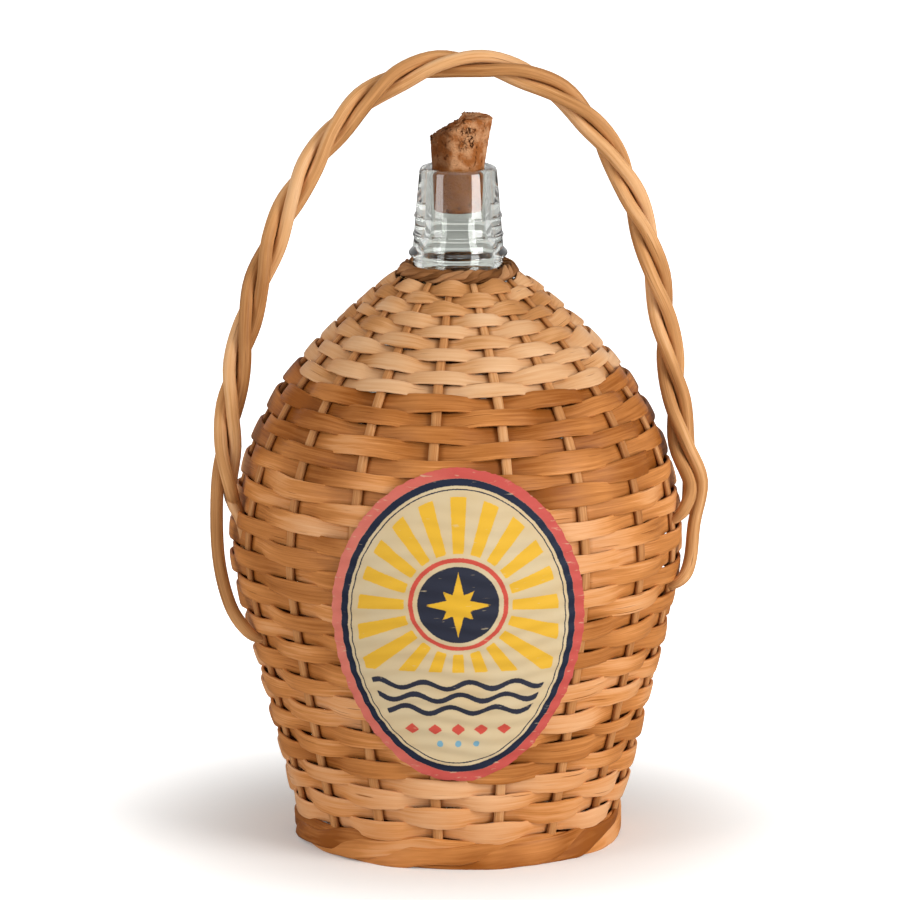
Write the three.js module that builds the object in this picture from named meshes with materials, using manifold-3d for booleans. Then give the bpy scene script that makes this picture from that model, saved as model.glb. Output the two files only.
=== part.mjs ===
// A rum bottle in a woven willow jacket: a clear glass demijohn with a cork, a jacket of willow stakes and
// flat weavers, a twisted willow handle tucked into the weave, and an oval paper label.
// Millimetres, +Z up. The origin is on the bottle's axis, on the plane that it stands on. The label faces -Y.
import * as THREE from "three";
import { mergeVertices } from "three/addons/utils/BufferGeometryUtils.js";
import Module from "manifold-3d";

// Clearances
const FIT_GAP = 0.3; // between pieces that touch
const ROW_GAP = 0.4; // between the edges of neighbouring weaver rows

// Jacket: the middle surface of the weave, along which the stakes run
const BASE_HEIGHT = 6.8; // middle of the spokes under the bottle
const SPOKE_START_RADIUS = 8; // where the spokes begin round the base's centre
const HEEL_RADIUS = 64.5; // foot of the wall
const HEEL_BEND = 7; // size of the bend from base to wall
const FLARE_RUN = 10; // how the wall leans out of the heel
const FLARE_RISE = 41;
const BELLY_RADIUS = 89.5;
const BELLY_HEIGHT = 128;
const BELLY_FULLNESS_BELOW = 23; // how long the wall stays upright near the belly
const BELLY_FULLNESS_ABOVE = 45;
const COLLAR_RADIUS = 24.5; // top ends of the stakes
const COLLAR_HEIGHT = 238;
const SHOULDER_REACH = 58; // how far the shoulder's slope carries down from the collar
const SHOULDER_SLOPE_DEG = 38.5;
const SHOULDER_ROWS_DROP = 39; // from this far below the collar up, the weavers are narrow

// Stakes
const CROSSED_RODS = 8; // rods crossed under the base; each gives two stakes, and one odd stake is added
const STAKE_WIDTH = 4.2;
const STAKE_THICKNESS = 3.2;
const STAKE_TIP_WIDTH = 2.6;
const STAKE_TIP_THICKNESS = 2.2;
const SPOKE_END_WIDTH = 2;
const FIRST_STAKE_DEG = -7.3; // the stake nearest the middle of the label

// Weavers, flat willow skeins
const SKEIN_LENGTH = 1700; // longest strip before a new one is joined in
const BASE_ROW = 6;
const WALL_ROW = 6.9;
const SHOULDER_ROW = 5.6;
const BASE_SKEIN = 1.4;
const WALL_SKEIN = 1.5;
const SHOULDER_SKEIN = 1.2;
const SKEIN_SWELL = 1.2; // a strip is this much wider in front of a stake and narrower behind it
const BASE_WEAVE_START = 17; // radius of the first row under the base
const SKEIN_JOIN_GAP = 0.8; // between a strip's end and the start of the next, behind a stake
const START_STAKE = 8; // stake at the back where each turn begins, counted from the front
const STEP_UP_STAKES = 3; // a turn climbs to the next row over this many stakes
const SKEIN_END_TAPER = 0.3; // a kind's last strip narrows by this share as it climbs

// Foot border that the bottle stands on
const FOOT_INSET = 8; // its inner edge, inside the foot of the wall
const FOOT_OVERHANG = 4.4; // its outer edge, outside the foot of the wall
const FOOT_ROUND = 3; // rounding of its lower outer edge
const FOOT_TOP = 10.5; // top of its outer edge

// Glass
const GLASS_WALL = 4;
const PUNT_HEIGHT = 5; // the bottom's push-up
const PUNT_RADIUS = 34;
const NECK_RADIUS = 18.9;
const NECK_RISE = 47; // from the collar to the lip
const BEAD_RADIUS = 20.7;
const BEAD_RISE = 10.6; // above the collar
const BEAD_THICKNESS = 4.6;
const RING_RADIUS = 19.3; // two low rings above the bead
const RING_RISES = [18.6, 26.4];
const RING_THICKNESS = 2.4;
const LIP_RADIUS = 16.2;
const LIP_ROUND = 2;
const BORE_RADIUS = 11.4;
const BORE_ROUND = 0.8;
const BORE_DEPTH = 27; // straight bore under the lip

// Cork
const CORK_DEPTH = 19; // below the lip
const CORK_RISE = 21; // above the lip
const CORK_TAPER = 0.04; // growth of its radius per millimetre of height
const CORK_TRAVEL_RADIUS_LOSS = 0.2; // taken off below the lip so that it pulls straight out
const CORK_BREAK_LOW = 8.4; // how far the broken side is below the top at the left
const CORK_BREAK_STEP = 3.2; // and at the foot of the step near the middle
const CORK_STEP_RUN = 2.6; // width of that step
const CORK_TOP_EDGE = 3; // left edge of what is left of the top

// Collar binding round the neck
const BINDING_HEIGHT = 5;

// Handle: three willow rods twisted together
const ROD_DIAMETER = 5.6;
const ROD_TIP_DIAMETER = 3.2;
const ROD_SIDES = 6;
const LAY_TURNS = 5; // turns of the twist from foot to foot
const LAY_STEPS = 9; // steps of a turn
const HANDLE_FOOT_HEIGHT = 150;
const HANDLE_RISE = 177; // from the feet to the middle of the rods at the top
const HANDLE_TOP_SHIFT = -1.6; // the top is a little to the left
const HANDLE_LEFT_BOW = 2; // how far the legs bow out
const HANDLE_LEFT_BOW_RISE = 63.5;
const HANDLE_LEFT_TOP_REACH = 63.6; // roundness of the top
const HANDLE_RIGHT_BOW = -15;
const HANDLE_RIGHT_BOW_RISE = 38.5;
const HANDLE_RIGHT_TOP_REACH = 95;
const HANDLE_LEAN_DEG = 12; // backwards, so that the cork has a straight way out
const LEFT_FOOT_DEG = -78;
const RIGHT_FOOT_DEG = 84;
const LEFT_LOOP_DROP = 64; // how far below the feet the outer rod is tucked in
const RIGHT_LOOP_DROP = 42;
const LOOP_STANDOFF = 9; // from the weave to the middle of the outer rod
const LOOP_MIDDLE = 0.45; // shares of a loop's fall at its straight part and where it turns in
const LOOP_TURN = 0.82;
const LOOP_SWING = 0.4; // share of its way round to the stake that a loop has gone where it turns in
const HANDLE_CLEARANCE = 1; // between the weave and the twist at its feet
const TUCK_DROP = 14; // how far below the feet the inner rods are tucked in
const TAIL_STEP = 7; // length of a step along a rod's tucked end

// Label
const LABEL_WIDTH = 104;
const LABEL_HEIGHT = 134;
const LABEL_CENTRE_HEIGHT = 107;
const LABEL_THICKNESS = 0.5;
const LABEL_STANDOFF = 0.6; // clear of the proudest strips
const LABEL_SEGMENTS = 28;
const LABEL_RINGS = 5;

const STAKES = 2 * CROSSED_RODS + 1;
const STEP_ANGLE = (2 * Math.PI) / STAKES;
const ROUND_SEGMENTS = 2 * STAKES;
const FLAT_SHARE = Math.cos(Math.PI / ROUND_SEGMENTS); // a faceted ring's radius at its flats

const COLOURS = {
  stake: 0xc28a52,
  wall: 0xc98f55,
  shoulder: 0xd9ad74,
  handle: 0xc08a4f,
  binding: 0x9a6637,
  glass: 0xdfeae6,
  cork: 0xa9713f,
  label: 0xe9dfc4,
};

const wasm = await Module();
wasm.setup();
const bottle = new THREE.Group();

function addPiece(name, geometry, colour, roughness = 0.7) {
  const material = new THREE.MeshStandardMaterial({ color: colour, roughness, metalness: 0 });
  const mesh = new THREE.Mesh(geometry, material);
  mesh.name = name;
  bottle.add(mesh);
}

function radians(degrees) {
  return THREE.MathUtils.degToRad(degrees);
}

// A closed body through a row of rings with equal numbers of corners, capped at both ends
function loft(rings) {
  const sides = rings[0].length;
  const points = rings.flat();
  const faces = [];
  for (let i = 0; i + 1 < rings.length; i += 1) {
    for (let j = 0; j < sides; j += 1) {
      const a = i * sides + j;
      const b = i * sides + ((j + 1) % sides);
      faces.push(a, b, b + sides, a, b + sides, a + sides);
    }
  }
  const last = (rings.length - 1) * sides;
  for (let j = 1; j + 1 < sides; j += 1) {
    faces.push(0, j + 1, j);
    faces.push(last, last + j, last + j + 1);
  }
  const geometry = new THREE.BufferGeometry().setFromPoints(points);
  geometry.setIndex(faces);
  return geometry;
}

// A body of revolution about the bottle's axis; its corners stand at the stakes and halfway between them
function revolve(outline, segments = ROUND_SEGMENTS) {
  const geometry = new THREE.LatheGeometry(outline, segments);
  geometry.rotateX(Math.PI / 2);
  geometry.rotateZ(radians(FIRST_STAKE_DEG));
  return geometry;
}

function solid(geometry) {
  const bare = geometry.clone();
  bare.deleteAttribute("normal");
  bare.deleteAttribute("uv");
  const merged = mergeVertices(bare);
  const vertProperties = new Float32Array(merged.attributes.position.array);
  const triVerts = new Uint32Array(merged.index.array);
  return new wasm.Manifold(new wasm.Mesh({ numProp: 3, vertProperties, triVerts }));
}

function fromSolid(manifold) {
  const mesh = manifold.getMesh();
  const geometry = new THREE.BufferGeometry();
  geometry.setAttribute("position", new THREE.BufferAttribute(new Float32Array(mesh.vertProperties), 3));
  geometry.setIndex(new THREE.BufferAttribute(new Uint32Array(mesh.triVerts), 1));
  return geometry;
}

// The jacket's middle surface as stations from the base's centre out over the heel and up to the collar.
// Each station holds its distance along the surface, radius, height and outward normal.
function jacketStations() {
  const heelTop = BASE_HEIGHT + HEEL_BEND;
  const slope = radians(SHOULDER_SLOPE_DEG);
  const point = (radius, height) => new THREE.Vector2(radius, height);
  const heelStart = point(HEEL_RADIUS - HEEL_BEND, BASE_HEIGHT);
  const wallStart = point(HEEL_RADIUS + (HEEL_BEND * FLARE_RUN) / FLARE_RISE, heelTop);
  const belly = point(BELLY_RADIUS, BELLY_HEIGHT);
  const collar = point(COLLAR_RADIUS, COLLAR_HEIGHT);
  const stretches = [
    [new THREE.LineCurve(point(SPOKE_START_RADIUS, BASE_HEIGHT), heelStart), 1],
    [new THREE.QuadraticBezierCurve(heelStart, point(HEEL_RADIUS, BASE_HEIGHT), wallStart), 4],
    [
      new THREE.CubicBezierCurve(
        wallStart,
        point(wallStart.x + FLARE_RUN, heelTop + FLARE_RISE),
        point(BELLY_RADIUS, BELLY_HEIGHT - BELLY_FULLNESS_BELOW),
        belly,
      ),
      5,
    ],
    [
      new THREE.CubicBezierCurve(
        belly,
        point(BELLY_RADIUS, BELLY_HEIGHT + BELLY_FULLNESS_ABOVE),
        point(collar.x + SHOULDER_REACH * Math.cos(slope), collar.y - SHOULDER_REACH * Math.sin(slope)),
        collar,
      ),
      10,
    ],
  ];
  const stations = [];
  let along = 0;
  for (const [curve, steps] of stretches) {
    for (let i = stations.length ? 1 : 0; i <= steps; i += 1) {
      const here = curve.getPointAt(i / steps);
      const tangent = curve.getTangentAt(i / steps);
      const before = stations.at(-1);
      if (before) along += Math.hypot(here.x - before.radius, here.y - before.height);
      stations.push({ along, radius: here.x, height: here.y, out: tangent.y, up: -tangent.x });
    }
  }
  return stations;
}

const stations = jacketStations();
const JACKET_LENGTH = stations.at(-1).along;

// The middle surface at a distance along it
function jacketAt(along) {
  const after = Math.max(1, stations.findIndex((station) => station.along >= along));
  const [a, b] = [stations[after - 1], stations[after]];
  const share = THREE.MathUtils.clamp((along - a.along) / (b.along - a.along), 0, 1);
  const mix = (key) => THREE.MathUtils.lerp(a[key], b[key], share);
  const size = Math.hypot(mix("out"), mix("up"));
  return { along, radius: mix("radius"), height: mix("height"), out: mix("out") / size, up: mix("up") / size };
}

// The distance along the wall at which it reaches a height
function alongAtHeight(height) {
  const after = stations.findIndex((station) => station.height >= height && station.height > BASE_HEIGHT);
  const [a, b] = [stations[after - 1], stations[after]];
  return THREE.MathUtils.mapLinear(height, a.height, b.height, a.along, b.along);
}

// A point off the middle surface; the angle is from the front, growing to the right
function jacketPoint(angle, place, offset, slide = 0) {
  const radius = place.radius + place.out * offset - place.up * slide;
  const height = place.height + place.up * offset + place.out * slide;
  return new THREE.Vector3(radius * Math.sin(angle), -radius * Math.cos(angle), height);
}

const HEEL_ALONG = HEEL_RADIUS - HEEL_BEND - SPOKE_START_RADIUS;
const SHOULDER_ALONG = alongAtHeight(COLLAR_HEIGHT - SHOULDER_ROWS_DROP);

// Half width and half thickness of a stake, which thins towards both ends
function stakeHalves(along) {
  const keys = [0, HEEL_ALONG, SHOULDER_ALONG, JACKET_LENGTH];
  const widths = [SPOKE_END_WIDTH, STAKE_WIDTH, STAKE_WIDTH, STAKE_TIP_WIDTH];
  const thicknesses = [STAKE_TIP_THICKNESS, STAKE_THICKNESS, STAKE_THICKNESS, STAKE_TIP_THICKNESS];
  const next = Math.max(1, keys.findIndex((key) => key >= along));
  const share = THREE.MathUtils.clamp((along - keys[next - 1]) / (keys[next] - keys[next - 1]), 0, 1);
  const half = (values) => THREE.MathUtils.lerp(values[next - 1], values[next], share) / 2;
  return { across: half(widths), deep: half(thicknesses) };
}

function stakeAngle(index) {
  return radians(FIRST_STAKE_DEG) + index * STEP_ANGLE;
}

function stake(index) {
  const angle = stakeAngle(index);
  const side = new THREE.Vector3(Math.cos(angle), Math.sin(angle), 0);
  const rings = stations.map((place) => {
    const half = stakeHalves(place.along);
    const corner = (depth, across) =>
      jacketPoint(angle, place, depth * half.deep).addScaledVector(side, across * half.across);
    return [corner(-1, -1), corner(1, -1), corner(1, 1), corner(-1, 1)];
  });
  return loft(rings);
}

// How far a strip's middle stands off the middle surface where it passes in front of a stake and behind one
function crossingOffsets(place, thickness) {
  const half = stakeHalves(place.along);
  const spacing = place.radius * Math.sin(STEP_ANGLE);
  const bow = place.radius * (1 - Math.cos(STEP_ANGLE)) * Math.max(0, place.out);
  const clear = half.deep + FIT_GAP + thickness / 2;
  let front = clear;
  let behind = clear;
  for (let pass = 0; pass < 6; pass += 1) {
    front = clear + (half.across * (bow + front + behind)) / spacing;
    behind = clear + (half.across * Math.max(0, front + behind - bow)) / spacing;
  }
  return { front, behind };
}

// One spiral of weaving, from a start along the jacket. Each kind of strip fills its own stretch with whole
// rows, and a turn lies level until it climbs to the next row at the back. The stakes are odd in number, so a
// strip that passes in front of a stake on one turn passes behind it on the next.
function weave(start, kinds) {
  const crossings = [];
  let low = start + (SKEIN_SWELL - ROW_GAP) / 2;
  for (const kind of kinds) {
    const length = kind.end - low;
    const rows = Math.round(length / kind.row);
    const row = length / rows;
    for (let turn = 0; turn < rows; turn += 1) {
      for (let k = 0; k < STAKES; k += 1) {
        const climb = Math.max(0, (k - STAKES + STEP_UP_STAKES) / STEP_UP_STAKES);
        const lastRow = kind === kinds.at(-1) && turn === rows - 1;
        if (lastRow && climb > 0) break;
        const taper = turn === rows - 1 ? 1 - SKEIN_END_TAPER * climb : 1;
        const along = low + (turn + 0.5 + climb) * row;
        crossings.push(crossing(kind, (row - ROW_GAP) * taper, along, crossings.length + START_STAKE));
      }
    }
    low = kind.end;
  }
  return crossings;
}

// Where a strip crosses a stake: its section there, and how far along the jacket it is
function crossing(kind, width, along, step) {
  const place = jacketAt(along);
  const offsets = crossingOffsets(place, kind.skein);
  const inFront = step % 2 === 0;
  const offset = inFront ? offsets.front : -offsets.behind;
  const halfWidth = (width + (inFront ? SKEIN_SWELL : -SKEIN_SWELL)) / 2;
  const angle = stakeAngle(step);
  const corner = (slide, depth) =>
    jacketPoint(angle, place, offset + (depth * kind.skein) / 2, slide * halfWidth);
  const ring = [corner(-1, -1), corner(1, -1), corner(1, 1), corner(-1, 1)];
  return { step, along, place, kind, inFront, ring };
}

// Cuts a kind's rows into strips of like length, none much longer than a skein, that end behind stakes
function addStrips(crossings, kind) {
  const own = crossings.filter((crossing) => crossing.kind === kind);
  const reach = (a, b) => a.ring[0].distanceTo(b.ring[0]);
  const lengths = [0];
  for (let i = 1; i < own.length; i += 1) lengths.push(lengths.at(-1) + reach(own[i - 1], own[i]));
  const strips = Math.ceil(lengths.at(-1) / SKEIN_LENGTH);
  const cut = (strip) => {
    if (strip === strips) return own.length - 1;
    const index = lengths.findIndex((length) => length >= (strip * lengths.at(-1)) / strips);
    return index > 0 && own[index].inFront ? index + 1 : index;
  };
  const toward = (a, b) => {
    const inset = SKEIN_JOIN_GAP / 2 / reach(a, b);
    return a.ring.map((corner, j) => corner.clone().lerp(b.ring[j], inset));
  };
  for (let strip = 0; strip < strips; strip += 1) {
    const part = own.slice(cut(strip), cut(strip + 1) + 1);
    const rings = part.slice(1, -1).map((crossing) => crossing.ring);
    rings.unshift(toward(part[0], part[1]));
    rings.push(toward(part.at(-1), part.at(-2)));
    addPiece(`${kind.name}_${String(strip + 1).padStart(2, "0")}`, loft(rings), kind.colour);
  }
}

const baseKind = {
  row: BASE_ROW,
  skein: BASE_SKEIN,
  name: "base_weaver",
  colour: COLOURS.wall,
  end: (HEEL_RADIUS - FOOT_INSET) * FLAT_SHARE - FIT_GAP - SKEIN_SWELL / 2 - SPOKE_START_RADIUS,
};
const wallKind = {
  row: WALL_ROW,
  skein: WALL_SKEIN,
  name: "wall_weaver",
  colour: COLOURS.wall,
  end: SHOULDER_ALONG,
};
const shoulderKind = {
  row: SHOULDER_ROW,
  skein: SHOULDER_SKEIN,
  name: "shoulder_weaver",
  colour: COLOURS.shoulder,
  end: JACKET_LENGTH - (SKEIN_SWELL - ROW_GAP) / 2,
};
const wallFoot = jacketAt(alongAtHeight(FOOT_TOP));
const wallFootProud = crossingOffsets(wallFoot, WALL_SKEIN).front + WALL_SKEIN / 2;
const wallStart = alongAtHeight(FOOT_TOP - wallFootProud * wallFoot.up) + FIT_GAP;
const baseCrossings = weave(BASE_WEAVE_START - SPOKE_START_RADIUS, [baseKind]);
const wallCrossings = weave(wallStart, [wallKind, shoulderKind]);

for (let i = 0; i < STAKES; i += 1) {
  addPiece(`stake_${String(i + 1).padStart(2, "0")}`, stake(i), COLOURS.stake);
}
addStrips(baseCrossings, baseKind);
addStrips(wallCrossings, wallKind);
addStrips(wallCrossings, shoulderKind);

// Foot border: a ring under the bend of the stakes, flat where it stands
function footBorder() {
  const inner = HEEL_RADIUS - FOOT_INSET;
  const outer = HEEL_RADIUS + FOOT_OVERHANG;
  const outline = [
    new THREE.Vector2(inner, 0),
    new THREE.Vector2(outer - FOOT_ROUND, 0),
    new THREE.Vector2(outer, FOOT_ROUND),
    new THREE.Vector2(outer, FOOT_TOP),
  ];
  const seat = stations.filter((place) => place.along >= HEEL_ALONG && place.height < FOOT_TOP);
  const top = jacketAt(alongAtHeight(FOOT_TOP));
  for (const place of [top, ...seat.reverse()]) {
    const off = STAKE_THICKNESS / 2 + FIT_GAP;
    const height = Math.min(FOOT_TOP, place.height + place.up * off);
    outline.push(new THREE.Vector2(place.radius + place.out * off, height));
  }
  outline.push(new THREE.Vector2(inner, BASE_HEIGHT - STAKE_THICKNESS / 2 - FIT_GAP));
  outline.push(outline[0].clone());
  return revolve(outline);
}
addPiece("foot_border", footBorder(), COLOURS.wall);

// Glass: it fills the jacket, clear of the strips that pass behind the stakes
const LIP_HEIGHT = COLLAR_HEIGHT + NECK_RISE;
function skeinAt(along) {
  return along > SHOULDER_ALONG ? SHOULDER_SKEIN : WALL_SKEIN;
}

function glassBottle() {
  const v = (radius, height) => new THREE.Vector2(radius, height);
  const body = [];
  for (const place of stations.filter((station) => station.along >= HEEL_ALONG)) {
    const depth = crossingOffsets(place, skeinAt(place.along)).behind + skeinAt(place.along) / 2 + 2 * FIT_GAP;
    body.push({ place, depth });
  }
  const shell = (extra) =>
    body.map(({ place, depth }) =>
      v(place.radius - place.out * (depth + extra), place.height - place.up * (depth + extra)),
    );
  const outside = shell(0);
  const inside = shell(GLASS_WALL).filter((point, i) => i % 2 === 1);
  const bottom = outside[0].y;
  const collar = outside.at(-1);
  const neckFoot = v(NECK_RADIUS, collar.y + (collar.x - NECK_RADIUS));
  const swelling = (rise, radius, thickness, root) => [
    v(root, COLLAR_HEIGHT + rise - thickness / 2),
    v(radius, COLLAR_HEIGHT + rise - thickness / 5),
    v(radius, COLLAR_HEIGHT + rise + thickness / 5),
    v(root, COLLAR_HEIGHT + rise + thickness / 2),
  ];
  const outline = [v(0, bottom + PUNT_HEIGHT), v(PUNT_RADIUS, bottom), ...outside, neckFoot];
  outline.push(...swelling(BEAD_RISE, BEAD_RADIUS, BEAD_THICKNESS, NECK_RADIUS));
  const ringRoot = (NECK_RADIUS + LIP_RADIUS) / 2;
  for (const rise of RING_RISES) {
    outline.push(...swelling(rise, RING_RADIUS, RING_THICKNESS, rise === RING_RISES[0] ? NECK_RADIUS : ringRoot));
  }
  outline.push(v(LIP_RADIUS, LIP_HEIGHT - LIP_ROUND), v(LIP_RADIUS - LIP_ROUND, LIP_HEIGHT));
  outline.push(v(BORE_RADIUS + BORE_ROUND, LIP_HEIGHT), v(BORE_RADIUS, LIP_HEIGHT - BORE_ROUND));
  outline.push(v(BORE_RADIUS, LIP_HEIGHT - BORE_DEPTH));
  outline.push(v(NECK_RADIUS - GLASS_WALL, COLLAR_HEIGHT + BEAD_RISE));
  outline.push(v(NECK_RADIUS - GLASS_WALL, neckFoot.y));
  outline.push(...inside.reverse());
  outline.push(v(PUNT_RADIUS, bottom + GLASS_WALL), v(0, bottom + PUNT_HEIGHT + GLASS_WALL));
  return revolve(outline);
}
addPiece("glass_bottle", glassBottle(), COLOURS.glass, 0.05);

// Cork: a tapered stopper whose top is broken off on the left
function cork() {
  const seat = BORE_RADIUS - FIT_GAP;
  const bottom = LIP_HEIGHT - CORK_DEPTH;
  const top = LIP_HEIGHT + CORK_RISE;
  const outline = [
    new THREE.Vector2(0, bottom),
    new THREE.Vector2(seat - CORK_TRAVEL_RADIUS_LOSS - CORK_TAPER * CORK_DEPTH, bottom),
    new THREE.Vector2(seat - CORK_TRAVEL_RADIUS_LOSS, LIP_HEIGHT),
    new THREE.Vector2(seat + CORK_TAPER * CORK_RISE, top),
    new THREE.Vector2(0, top),
  ];
  const whole = solid(revolve(outline, STAKES + 3));
  const beyond = CORK_RISE + BORE_RADIUS;
  const slope = (CORK_BREAK_LOW - CORK_BREAK_STEP) / (BORE_RADIUS + CORK_TOP_EDGE - CORK_STEP_RUN);
  const broken = new THREE.Shape([
    new THREE.Vector2(CORK_TOP_EDGE, top),
    new THREE.Vector2(CORK_TOP_EDGE, top + beyond),
    new THREE.Vector2(-beyond, top + beyond),
    new THREE.Vector2(-beyond, top - CORK_BREAK_LOW - slope * (beyond - BORE_RADIUS)),
    new THREE.Vector2(CORK_TOP_EDGE - CORK_STEP_RUN, top - CORK_BREAK_STEP),
  ]);
  const cutter = new THREE.ExtrudeGeometry(broken, { depth: 2 * beyond, bevelEnabled: false });
  cutter.translate(0, 0, -beyond);
  cutter.rotateX(Math.PI / 2);
  return fromSolid(whole.subtract(solid(cutter)));
}
addPiece("cork", cork(), COLOURS.cork, 0.9);

// Binding: a ring round the neck that covers the stakes' top ends
function neckBinding() {
  const top = stations.at(-1);
  const low = top.height + STAKE_TIP_THICKNESS / 2 + FIT_GAP;
  const inner = NECK_RADIUS + FIT_GAP;
  const outer = COLLAR_RADIUS;
  const round = BINDING_HEIGHT / 4;
  const outline = [
    [inner, low],
    [outer - round, low],
    [outer, low + round],
    [outer, low + BINDING_HEIGHT - round],
    [outer - round, low + BINDING_HEIGHT],
    [inner, low + BINDING_HEIGHT],
    [inner, low],
  ];
  return revolve(outline.map(([radius, height]) => new THREE.Vector2(radius, height)));
}
addPiece("neck_binding", neckBinding(), COLOURS.binding);

// Handle: an arch from the left foot to the right one, leaning back about the line through its feet
const ROPE_RADIUS = (ROD_DIAMETER + FIT_GAP) / Math.sqrt(3) / Math.cos(Math.PI / LAY_STEPS);
const FOOT_STANDOFF = ROPE_RADIUS + ROD_DIAMETER / 2 + HANDLE_CLEARANCE;
function jacketSurface(angle, height, standoff) {
  const place = jacketAt(alongAtHeight(height));
  const proud = crossingOffsets(place, skeinAt(place.along)).front + skeinAt(place.along) / 2;
  return jacketPoint(angle, place, proud + standoff);
}

function handleArch() {
  const left = jacketSurface(radians(LEFT_FOOT_DEG), HANDLE_FOOT_HEIGHT, FOOT_STANDOFF);
  const right = jacketSurface(radians(RIGHT_FOOT_DEG), HANDLE_FOOT_HEIGHT, FOOT_STANDOFF);
  const lean = radians(HANDLE_LEAN_DEG);
  const middle = left.clone().add(right).multiplyScalar(0.5);
  const span = right.clone().sub(left).normalize();
  const rise = new THREE.Vector3(0, Math.sin(lean), Math.cos(lean));
  const at = (base, sideways, up) => base.clone().addScaledVector(span, sideways).addScaledVector(rise, up);
  const top = at(middle, HANDLE_TOP_SHIFT, HANDLE_RISE);
  const arch = new THREE.CurvePath();
  arch.add(
    new THREE.CubicBezierCurve3(
      left,
      at(left, -HANDLE_LEFT_BOW, HANDLE_LEFT_BOW_RISE),
      at(top, -HANDLE_LEFT_TOP_REACH, 0),
      top,
    ),
  );
  arch.add(
    new THREE.CubicBezierCurve3(
      top,
      at(top, HANDLE_RIGHT_TOP_REACH, 0),
      at(right, HANDLE_RIGHT_BOW, HANDLE_RIGHT_BOW_RISE),
      right,
    ),
  );
  return { arch, span, rise };
}

// The gap in the weave nearest a height where a stake shows between two strips in front of it
function gapAtStake(index, height) {
  const behind = wallCrossings.filter(
    (crossing) => !crossing.inFront && crossing.step % STAKES === (index + STAKES) % STAKES,
  );
  const miss = (crossing) => Math.abs(crossing.place.height - height);
  return behind.reduce((best, crossing) => (miss(crossing) < miss(best) ? crossing : best));
}

// A rod's tail: the points that take it from the handle's foot into a gap in the weave
function tail(foot, stakeIndex, footAngle, drop) {
  const gap = gapAtStake(stakeIndex, HANDLE_FOOT_HEIGHT - drop);
  const angle = stakeAngle(stakeIndex);
  const proud = crossingOffsets(gap.place, gap.kind.skein).front + gap.kind.skein / 2;
  const seat = stakeHalves(gap.along).deep + FIT_GAP;
  const fall = foot.z - gap.place.height;
  const bends = [foot];
  if (fall > 4 * ROD_DIAMETER) {
    const swing = THREE.MathUtils.lerp(footAngle, angle, LOOP_SWING);
    bends.push(jacketSurface(footAngle, foot.z - fall * LOOP_MIDDLE, LOOP_STANDOFF));
    bends.push(jacketSurface(swing, foot.z - fall * LOOP_TURN, LOOP_STANDOFF));
  }
  bends.push(jacketPoint(angle, gap.place, proud + ROD_DIAMETER));
  bends.push(jacketPoint(angle, gap.place, seat));
  const route = new THREE.CatmullRomCurve3(bends, false, "centripetal");
  return route.getSpacedPoints(Math.round(route.getLength() / TAIL_STEP)).slice(1);
}

const { arch, span, rise } = handleArch();
const stakeBefore = (degrees) => Math.floor(radians(degrees - FIRST_STAKE_DEG) / STEP_ANGLE);
const LEFT_STAKES = { front: stakeBefore(LEFT_FOOT_DEG) + 1, back: stakeBefore(LEFT_FOOT_DEG) };
const RIGHT_STAKES = { front: stakeBefore(RIGHT_FOOT_DEG), back: stakeBefore(RIGHT_FOOT_DEG) + 1 };

// One rod: its lay along the arch, with a tail at each end. Rod 0 lies outside at the feet, rod 1 in front and
// rod 2 behind.
function handleRod(rod) {
  const forward = new THREE.Vector3().crossVectors(span, rise);
  const steps = LAY_TURNS * LAY_STEPS;
  const points = [];
  for (let i = 0; i <= steps; i += 1) {
    const share = i / steps;
    const tangent = arch.getTangent(share);
    const outward = new THREE.Vector3().crossVectors(forward, tangent);
    const turn = (rod * 2 * Math.PI) / 3 - share * LAY_TURNS * 2 * Math.PI;
    const here = arch.getPoint(share);
    here.addScaledVector(outward, ROPE_RADIUS * Math.cos(turn));
    here.addScaledVector(forward, ROPE_RADIUS * Math.sin(turn));
    points.push(here);
  }
  const leftAngle = radians(LEFT_FOOT_DEG);
  const rightAngle = radians(RIGHT_FOOT_DEG);
  const outer = rod === 0;
  const side = rod === 2 ? "back" : "front";
  const leftDrop = outer ? LEFT_LOOP_DROP : TUCK_DROP;
  const rightDrop = outer ? RIGHT_LOOP_DROP : TUCK_DROP;
  const leftTail = tail(points[0], LEFT_STAKES[side], leftAngle, leftDrop);
  const rightTail = tail(points.at(-1), RIGHT_STAKES[side], rightAngle, rightDrop);
  return [...leftTail.reverse(), ...points, ...rightTail];
}

// A round rod through points, thinned to its tip at both ends
function rodBody(points) {
  const rings = [];
  let normal = null;
  for (let i = 0; i < points.length; i += 1) {
    const before = points[Math.max(0, i - 1)];
    const after = points[Math.min(points.length - 1, i + 1)];
    const along = after.clone().sub(before).normalize();
    normal ??= new THREE.Vector3(0, 0, 1);
    normal = normal.clone().addScaledVector(along, -normal.dot(along)).normalize();
    const across = new THREE.Vector3().crossVectors(along, normal);
    const fromEnd = Math.min(i, points.length - 1 - i);
    const radius = (fromEnd < 2 ? ROD_TIP_DIAMETER : ROD_DIAMETER) / 2;
    const ring = [];
    for (let j = 0; j < ROD_SIDES; j += 1) {
      const turn = (j * 2 * Math.PI) / ROD_SIDES;
      const corner = points[i].clone();
      corner.addScaledVector(normal, radius * Math.cos(turn));
      corner.addScaledVector(across, radius * Math.sin(turn));
      ring.push(corner);
    }
    rings.push(ring);
  }
  return loft(rings);
}

const ROD_NAMES = ["handle_rod_outer", "handle_rod_front", "handle_rod_back"];
ROD_NAMES.forEach((name, rod) => addPiece(name, rodBody(handleRod(rod)), COLOURS.handle));

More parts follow.
